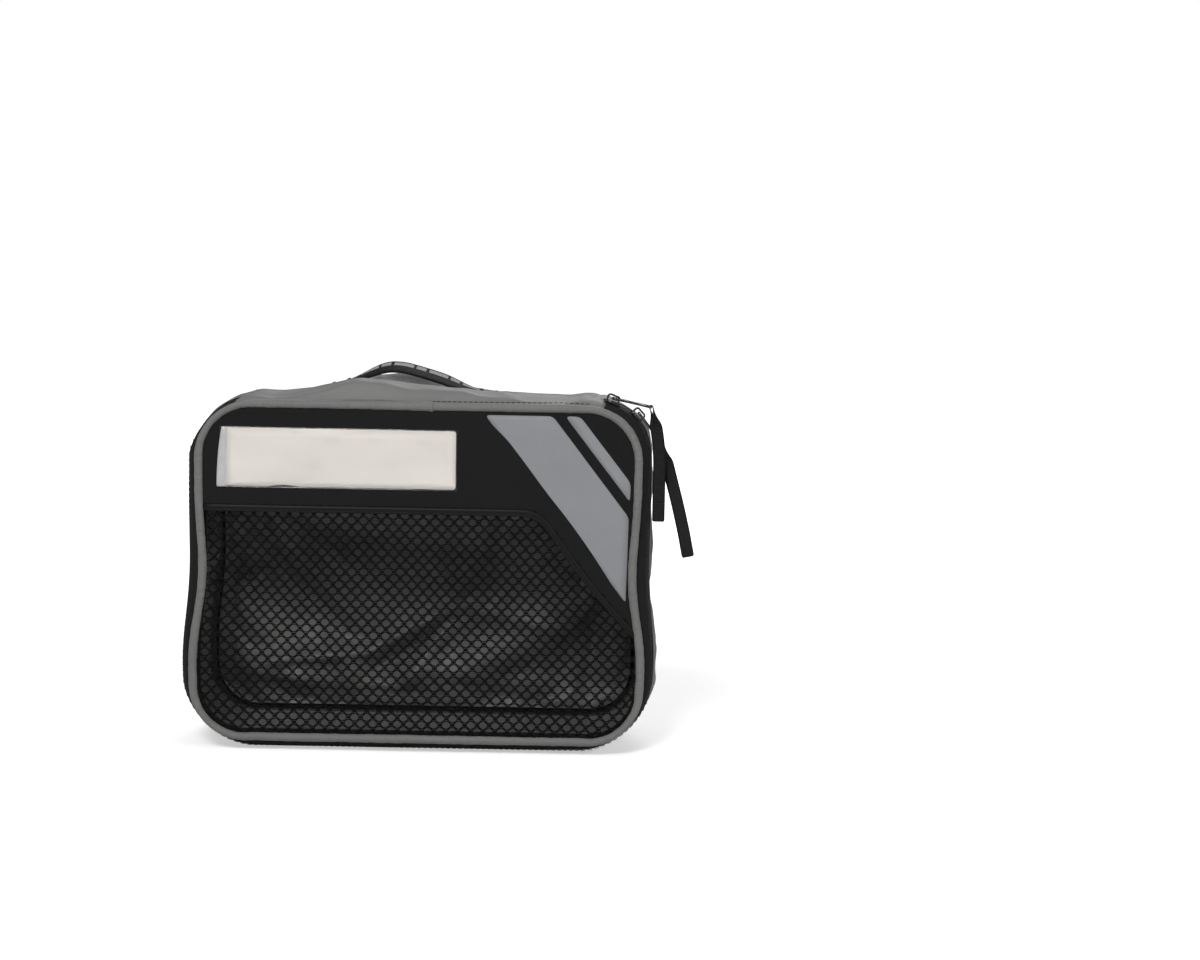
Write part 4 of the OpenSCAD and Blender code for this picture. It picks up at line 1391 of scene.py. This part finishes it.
slider_angles = {"a": 42, "b": 68}
plate_t, plate_lift, bridge_top, bridge_half = 1.1 * mm, 0.4 * mm, 5.1 * mm, 3.5 * mm
pin_out, inner_gap = 3.05 * mm, 3.2 * mm
for label, angle in slider_angles.items():
    nose = 1 if label == "a" else -1
    shield = []
    for k in range(40):
        a = math.tau * k / 40
        z = 4.4 * mm * math.copysign(abs(math.sin(a)) ** 0.75, math.sin(a))
        half = (3.55 + 0.6 * nose * z / (4.4 * mm)) * mm
        shield.append((half * math.copysign(abs(math.cos(a)) ** 0.75, math.cos(a)), z))
    outer = stamped("outer_plate", [shield], plate_t, 0.35 * mm, enamel,
                    on_zip(angle, plate_lift + plate_t / 2))
    foot = [(max(-0.3 * mm, p[0] * 0.95), p[1] * 0.95) for p in shield]
    inner = stamped("inner_plate", [foot], plate_t, 0.3 * mm, enamel,
                    on_zip(angle, -inner_gap - plate_t / 2))
    corner = [(math.cos(math.radians(t)), math.sin(math.radians(t))) for t in range(0, 91, 18)]
    reach, bend = bridge_top - 0.5 * mm, 1.2 * mm
    half_path = [(plate_lift + plate_t * 0.6, bridge_half - 0.5 * mm)] + \
        [(reach - bend + bend * s, bridge_half - 0.5 * mm - bend + bend * c) for c, s in corner]
    path = half_path + [(x, -z) for x, z in reversed(half_path)]
    bridge = bar_mesh(path, 2.3 * mm, 1.0 * mm, enamel, on_zip(angle, 0))
    post_section = np.array([(-0.4, -3), (0.4, -3), (0.4, 3), (-0.4, 3)]) * mm
    post = stamped("post", [post_section], 3.7 * mm, 0.1 * mm, enamel, on_zip(angle, -1.4 * mm))
    slider = joined("zip_slider_" + label, [outer, inner, bridge, post])
    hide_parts("slider_" + label)
    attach(slider, "slider_" + label)

# ---------- Pullers ----------
# A slim cast bar on each slider. Its head is open round the slider's bridge and closed by a pin;
# its far end has an eye for the ribbon.

puller_l = 20 * mm
puller_turns = {"a": 4, "b": -10}
waisted = [(0.9, 1.6), (0.75, 2.5), (0.2, 2.95), (-1.5, 3.0), (-4.6, 3.0), (-6.2, 2.6), (-8, 2.0),
           (-11, 1.85), (-13.5, 2.1), (-15.5, 2.8), (-17, 3.0), (-19.2, 3.0), (-19.8, 2.7), (-20, 2.2)]
puller_outline = [(-w * mm, z * mm) for z, w in waisted] + [(w * mm, z * mm) for z, w in reversed(waisted)]
head_hole = rounded(np.array([(-1.5, -0.6), (-1.5, -4.6), (1.5, -4.6), (1.5, -0.6)]) * mm, 0.8 * mm)
eye_hole = rounded(np.array([(-2.0, -17.2), (-2.0, -19.2), (2.0, -19.2), (2.0, -17.2)]) * mm, 0.5 * mm)
for label, angle in slider_angles.items():
    place = on_zip(angle, pin_out)
    turned = on_zip(angle, 0, puller_turns[label])
    turned.translation = place.translation
    flat = stamped("puller_plate", [puller_outline, head_hole, eye_hole], 1.2 * mm, 0.3 * mm,
                   enamel, turned)
    puller = joined("zip_puller_" + label, [flat])
    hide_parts("puller_" + label)
    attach(puller, "puller_" + label)

# ---------- Ribbons ----------
# A length of black grosgrain is threaded through each puller's eye and doubled. It bunches in
# the narrow eye, then turns to lie flat to the front, and its cut ends are sealed by heat.


def grosgrain():
    """Black ribbed ribbon, painted darker in the ribs' hollows and lighter on their crests, as painted shade
    and highlight.
    """
    f = Finish("grosgrain", (0.0055, 0.0055, 0.006), 0.52, Sheen_Weight=0.02, Specular_IOR_Level=0.16)
    u, _ = f.surface()
    # Painted shade and highlight: the rib wave darkens the hollows and lightens the crests.
    f.tint(f.wave(u, 0.75 * mm), 0.75, 1.35)
    f.relief((f.wave(u, 0.75 * mm), 0.16 * mm))
    return f.material


def pull_ribbon(label, line, seed):
    """The doubled ribbon along a line of (x, y, z) points, from the puller's bar down to its ends."""
    line = np.array(line) * mm
    lengths = length_across([tuple(p) for p in line])
    spots = np.concatenate([np.arange(0, 3.0, 0.5), np.arange(3.0, lengths[-1] / mm - 1.4, 1.4)]) * mm
    spots = np.concatenate([spots, lengths[-1] - np.array((1.0, 0.75, 0.5, 0.25, 0.08, 0)) * mm])
    middle = np.column_stack([np.interp(spots, lengths, line[:, k]) for k in range(3)])
    for _ in range(6):
        middle[1:-1] = (middle[:-2] + middle[1:-1] * 2 + middle[2:]) / 4
    down = np.gradient(middle, spots, axis=0)
    down /= np.linalg.norm(down, axis=1, keepdims=True)
    wide = np.interp(spots, [0, 2 * mm, 9 * mm], [3.5 * mm, 3.7 * mm, 6.4 * mm]) / 2
    left = lengths[-1] - spots
    tip = np.clip(1 - left / (1.0 * mm), 0, 1)
    wide = wide - 0.9 * mm * (1 - np.sqrt(np.clip(1 - tip ** 2, 0, 1)))
    turn = np.interp(spots, [1.5 * mm, 13 * mm], [0, math.pi / 2])
    across = np.array((0, 1, 0)) - down * down[:, 1:2]
    across /= np.linalg.norm(across, axis=1, keepdims=True)
    facing = np.cross(down, across)
    side = across * np.cos(turn)[:, None] + facing * np.sin(turn)[:, None]
    front = np.cross(side, down)
    apart = np.interp(spots, [0, 2.5 * mm, 6 * mm], [0.95 * mm, 0.8 * mm, 0.33 * mm])
    flutter = 0.25 * mm * np.sin(spots / (13 * mm) + seed) * np.clip(spots / (20 * mm), 0, 1)
    rings = []
    for sign, order in ((1, range(len(spots) - 1, -1, -1)), (-1, range(len(spots)))):
        for k in order:
            rings.append((middle[k] + front[k] * (sign * apart[k] + flutter[k]),
                          side[k] * wide[k], front[k] * sign))
        if sign > 0:
            for a in (45, 0, -45):
                c, s = math.cos(math.radians(a)), math.sin(math.radians(a))
                rings.append((middle[0] - down[0] * 0.95 * mm * c + front[0] * apart[0] * s,
                              side[0] * wide[0], -down[0] * c + front[0] * s))
    rows = []
    for centre, half, normal in rings:
        curl = 0.12 * mm
        row = [centre + half * t + normal * (0.22 * mm - curl * t * t) for t in np.linspace(-1, 1, 7)]
        row += [centre + half * t + normal * (-0.22 * mm - curl * t * t) for t in np.linspace(1, -1, 7)]
        rows.append(row)
    grid = np.array(rows)
    u = length_across([tuple(p) for p in grid.mean(1)])
    v = np.concatenate([np.linspace(0, 6.5, 7), np.linspace(7, 13.5, 7), [14]]) * mm
    obj = closed_skin("pull_ribbon_" + label, grid, u, v, ribbon_finish, slack=False)
    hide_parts("ribbon_" + label)
    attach(obj, "ribbon_" + label)
    return obj


ribbon_finish = grosgrain()


def bar_at(label):
    """The middle of the bar at a puller's end, in mm."""
    angle, turn = slider_angles[label], puller_turns[label]
    pin, lean = on_zip(angle, pin_out).translation, math.radians(angle - turn)
    run = puller_l - 0.4 * mm
    return (pin.x + run * math.sin(lean)) / mm, pin.y / mm, (pin.z - run * math.cos(lean)) / mm


bx, by, bz = bar_at("b")
pull_ribbon("b", [(bx, by, bz), (bx + 1.0, by - 0.6, bz - 3), (bx + 2.6, by - 2.4, bz - 9),
                  (bx + 3.9, by - 4.2, bz - 17), (bx + 4.7, by - 5.0, bz - 26), (bx + 4.7, by - 5.0, bz - 40),
                  (bx + 4.7, by - 5.0, 121.2)], 1.0)
ax, ay, az = bar_at("a")
pull_ribbon("a", [(ax, ay, az), (ax + 1.2, ay, az - 4), (ax + 4.4, ay, az - 16),
                  (ax + 8.2, ay - 0.2, az - 30), (ax + 11.8, ay - 0.1, az - 45),
                  (ax + 14.4, ay, az - 58)], 2.5)


# ---------- Studio ----------
# A flat pale floor under a white sky, five soft lamps and the camera. The sky lights faintly
# and shows white, so that the ground looks plain and the case keeps its shading.

floor_look = Finish("studio_floor", (0.82, 0.82, 0.82), 0.9,
                    Specular_IOR_Level=0, Emission_Color=(1, 1, 1, 1))
rays = floor_look.node("LightPath").outputs
seen = floor_look.calc("MAXIMUM", rays["Is Camera Ray"], rays["Is Transmission Ray"])
place_on_floor = floor_look.node("TexCoord").outputs["Object"]
far_off = floor_look.node("VectorMath", {"operation": "LENGTH"}, Vector=place_on_floor).outputs["Value"]
glow = floor_look.node("MapRange", Value=far_off, From_Min=0.25, From_Max=0.9, To_Min=0.5, To_Max=0.97)
floor_look.plug(floor_look.shader.inputs["Emission Strength"],
                floor_look.calc("MULTIPLY", seen, glow.outputs["Result"]))
floor_half = 30
floor_mesh = bpy.data.meshes.new("floor")
corners = [(x * floor_half, y * floor_half, 0) for x, y in ((-1, -1), (1, -1), (1, 1), (-1, 1))]
floor_mesh.from_pydata(corners, [], [(0, 1, 2, 3)])
floor_mesh.materials.append(floor_look.material)
floor = bpy.data.objects.new("floor", floor_mesh)
bpy.context.scene.collection.objects.link(floor)

world = bpy.data.worlds.new("studio")
bpy.context.scene.world = world
world.use_nodes = True
sky_tree = world.node_tree
sky = sky_tree.nodes["Background"]
sky.inputs["Color"].default_value = (1, 1, 1, 1)
sky_rays = sky_tree.nodes.new("ShaderNodeLightPath")
sky_level = sky_tree.nodes.new("ShaderNodeMapRange")
sky_light, sky_seen = 0.09, 1.0
sky_level.inputs["To Min"].default_value = sky_light
sky_level.inputs["To Max"].default_value = sky_seen
sky_tree.links.new(sky_rays.outputs["Is Camera Ray"], sky_level.inputs["Value"])
sky_tree.links.new(sky_level.outputs["Result"], sky.inputs["Strength"])


def lamp(name, place, size, power):
    """An oblong lamp that shines at the cube's middle."""
    data = bpy.data.lights.new(name, "AREA")
    data.shape = "RECTANGLE"
    data.size, data.size_y = size
    data.energy = power
    obj = bpy.data.objects.new(name, data)
    obj.location = place
    obj.rotation_euler = (Vector((0, 0, mid_z)) - Vector(place)).to_track_quat("-Z", "Y").to_euler()
    bpy.context.scene.collection.objects.link(obj)


lamp("softbox_front", (-0.32, -1.42, 1.26), (0.5, 0.5), 21)
lamp("softbox_right", (1.25, -1.2, 0.9), (0.35, 0.35), 8)
lamp("softbox_left", (-1.3, -0.7, 0.75), (0.4, 0.6), 2)
lamp("softbox_top", (0.1, 0, 1.5), (1.2, 0.9), 3)
lamp("softbox_back", (0.3, 1.4, 1.1), (0.8, 0.8), 10)

view_angle, roll, tip = math.radians(24), math.radians(1.05), math.radians(6.5)
distance, left_of_axis, below_axis = 1435.798 * mm, 93.0824 * mm, 48.0671 * mm
turn = Matrix.Rotation(math.radians(90) - tip, 3, "X") @ Matrix.Rotation(roll, 3, "Z")
offset = turn @ Vector((-left_of_axis, -below_axis, -distance))
camera_data = bpy.data.cameras.new("camera")
camera_data.sensor_width = 36
camera_data.lens = 18 / math.tan(view_angle / 2)
camera_data.clip_start, camera_data.clip_end = 0.1, 100
camera = bpy.data.objects.new("camera", camera_data)
camera.location = Vector((0, front_low.y, mid_z)) - offset
camera.rotation_euler = turn.to_euler()
bpy.context.scene.collection.objects.link(camera)
bpy.context.scene.camera = camera
bpy.context.scene.view_settings.view_transform = "Standard"
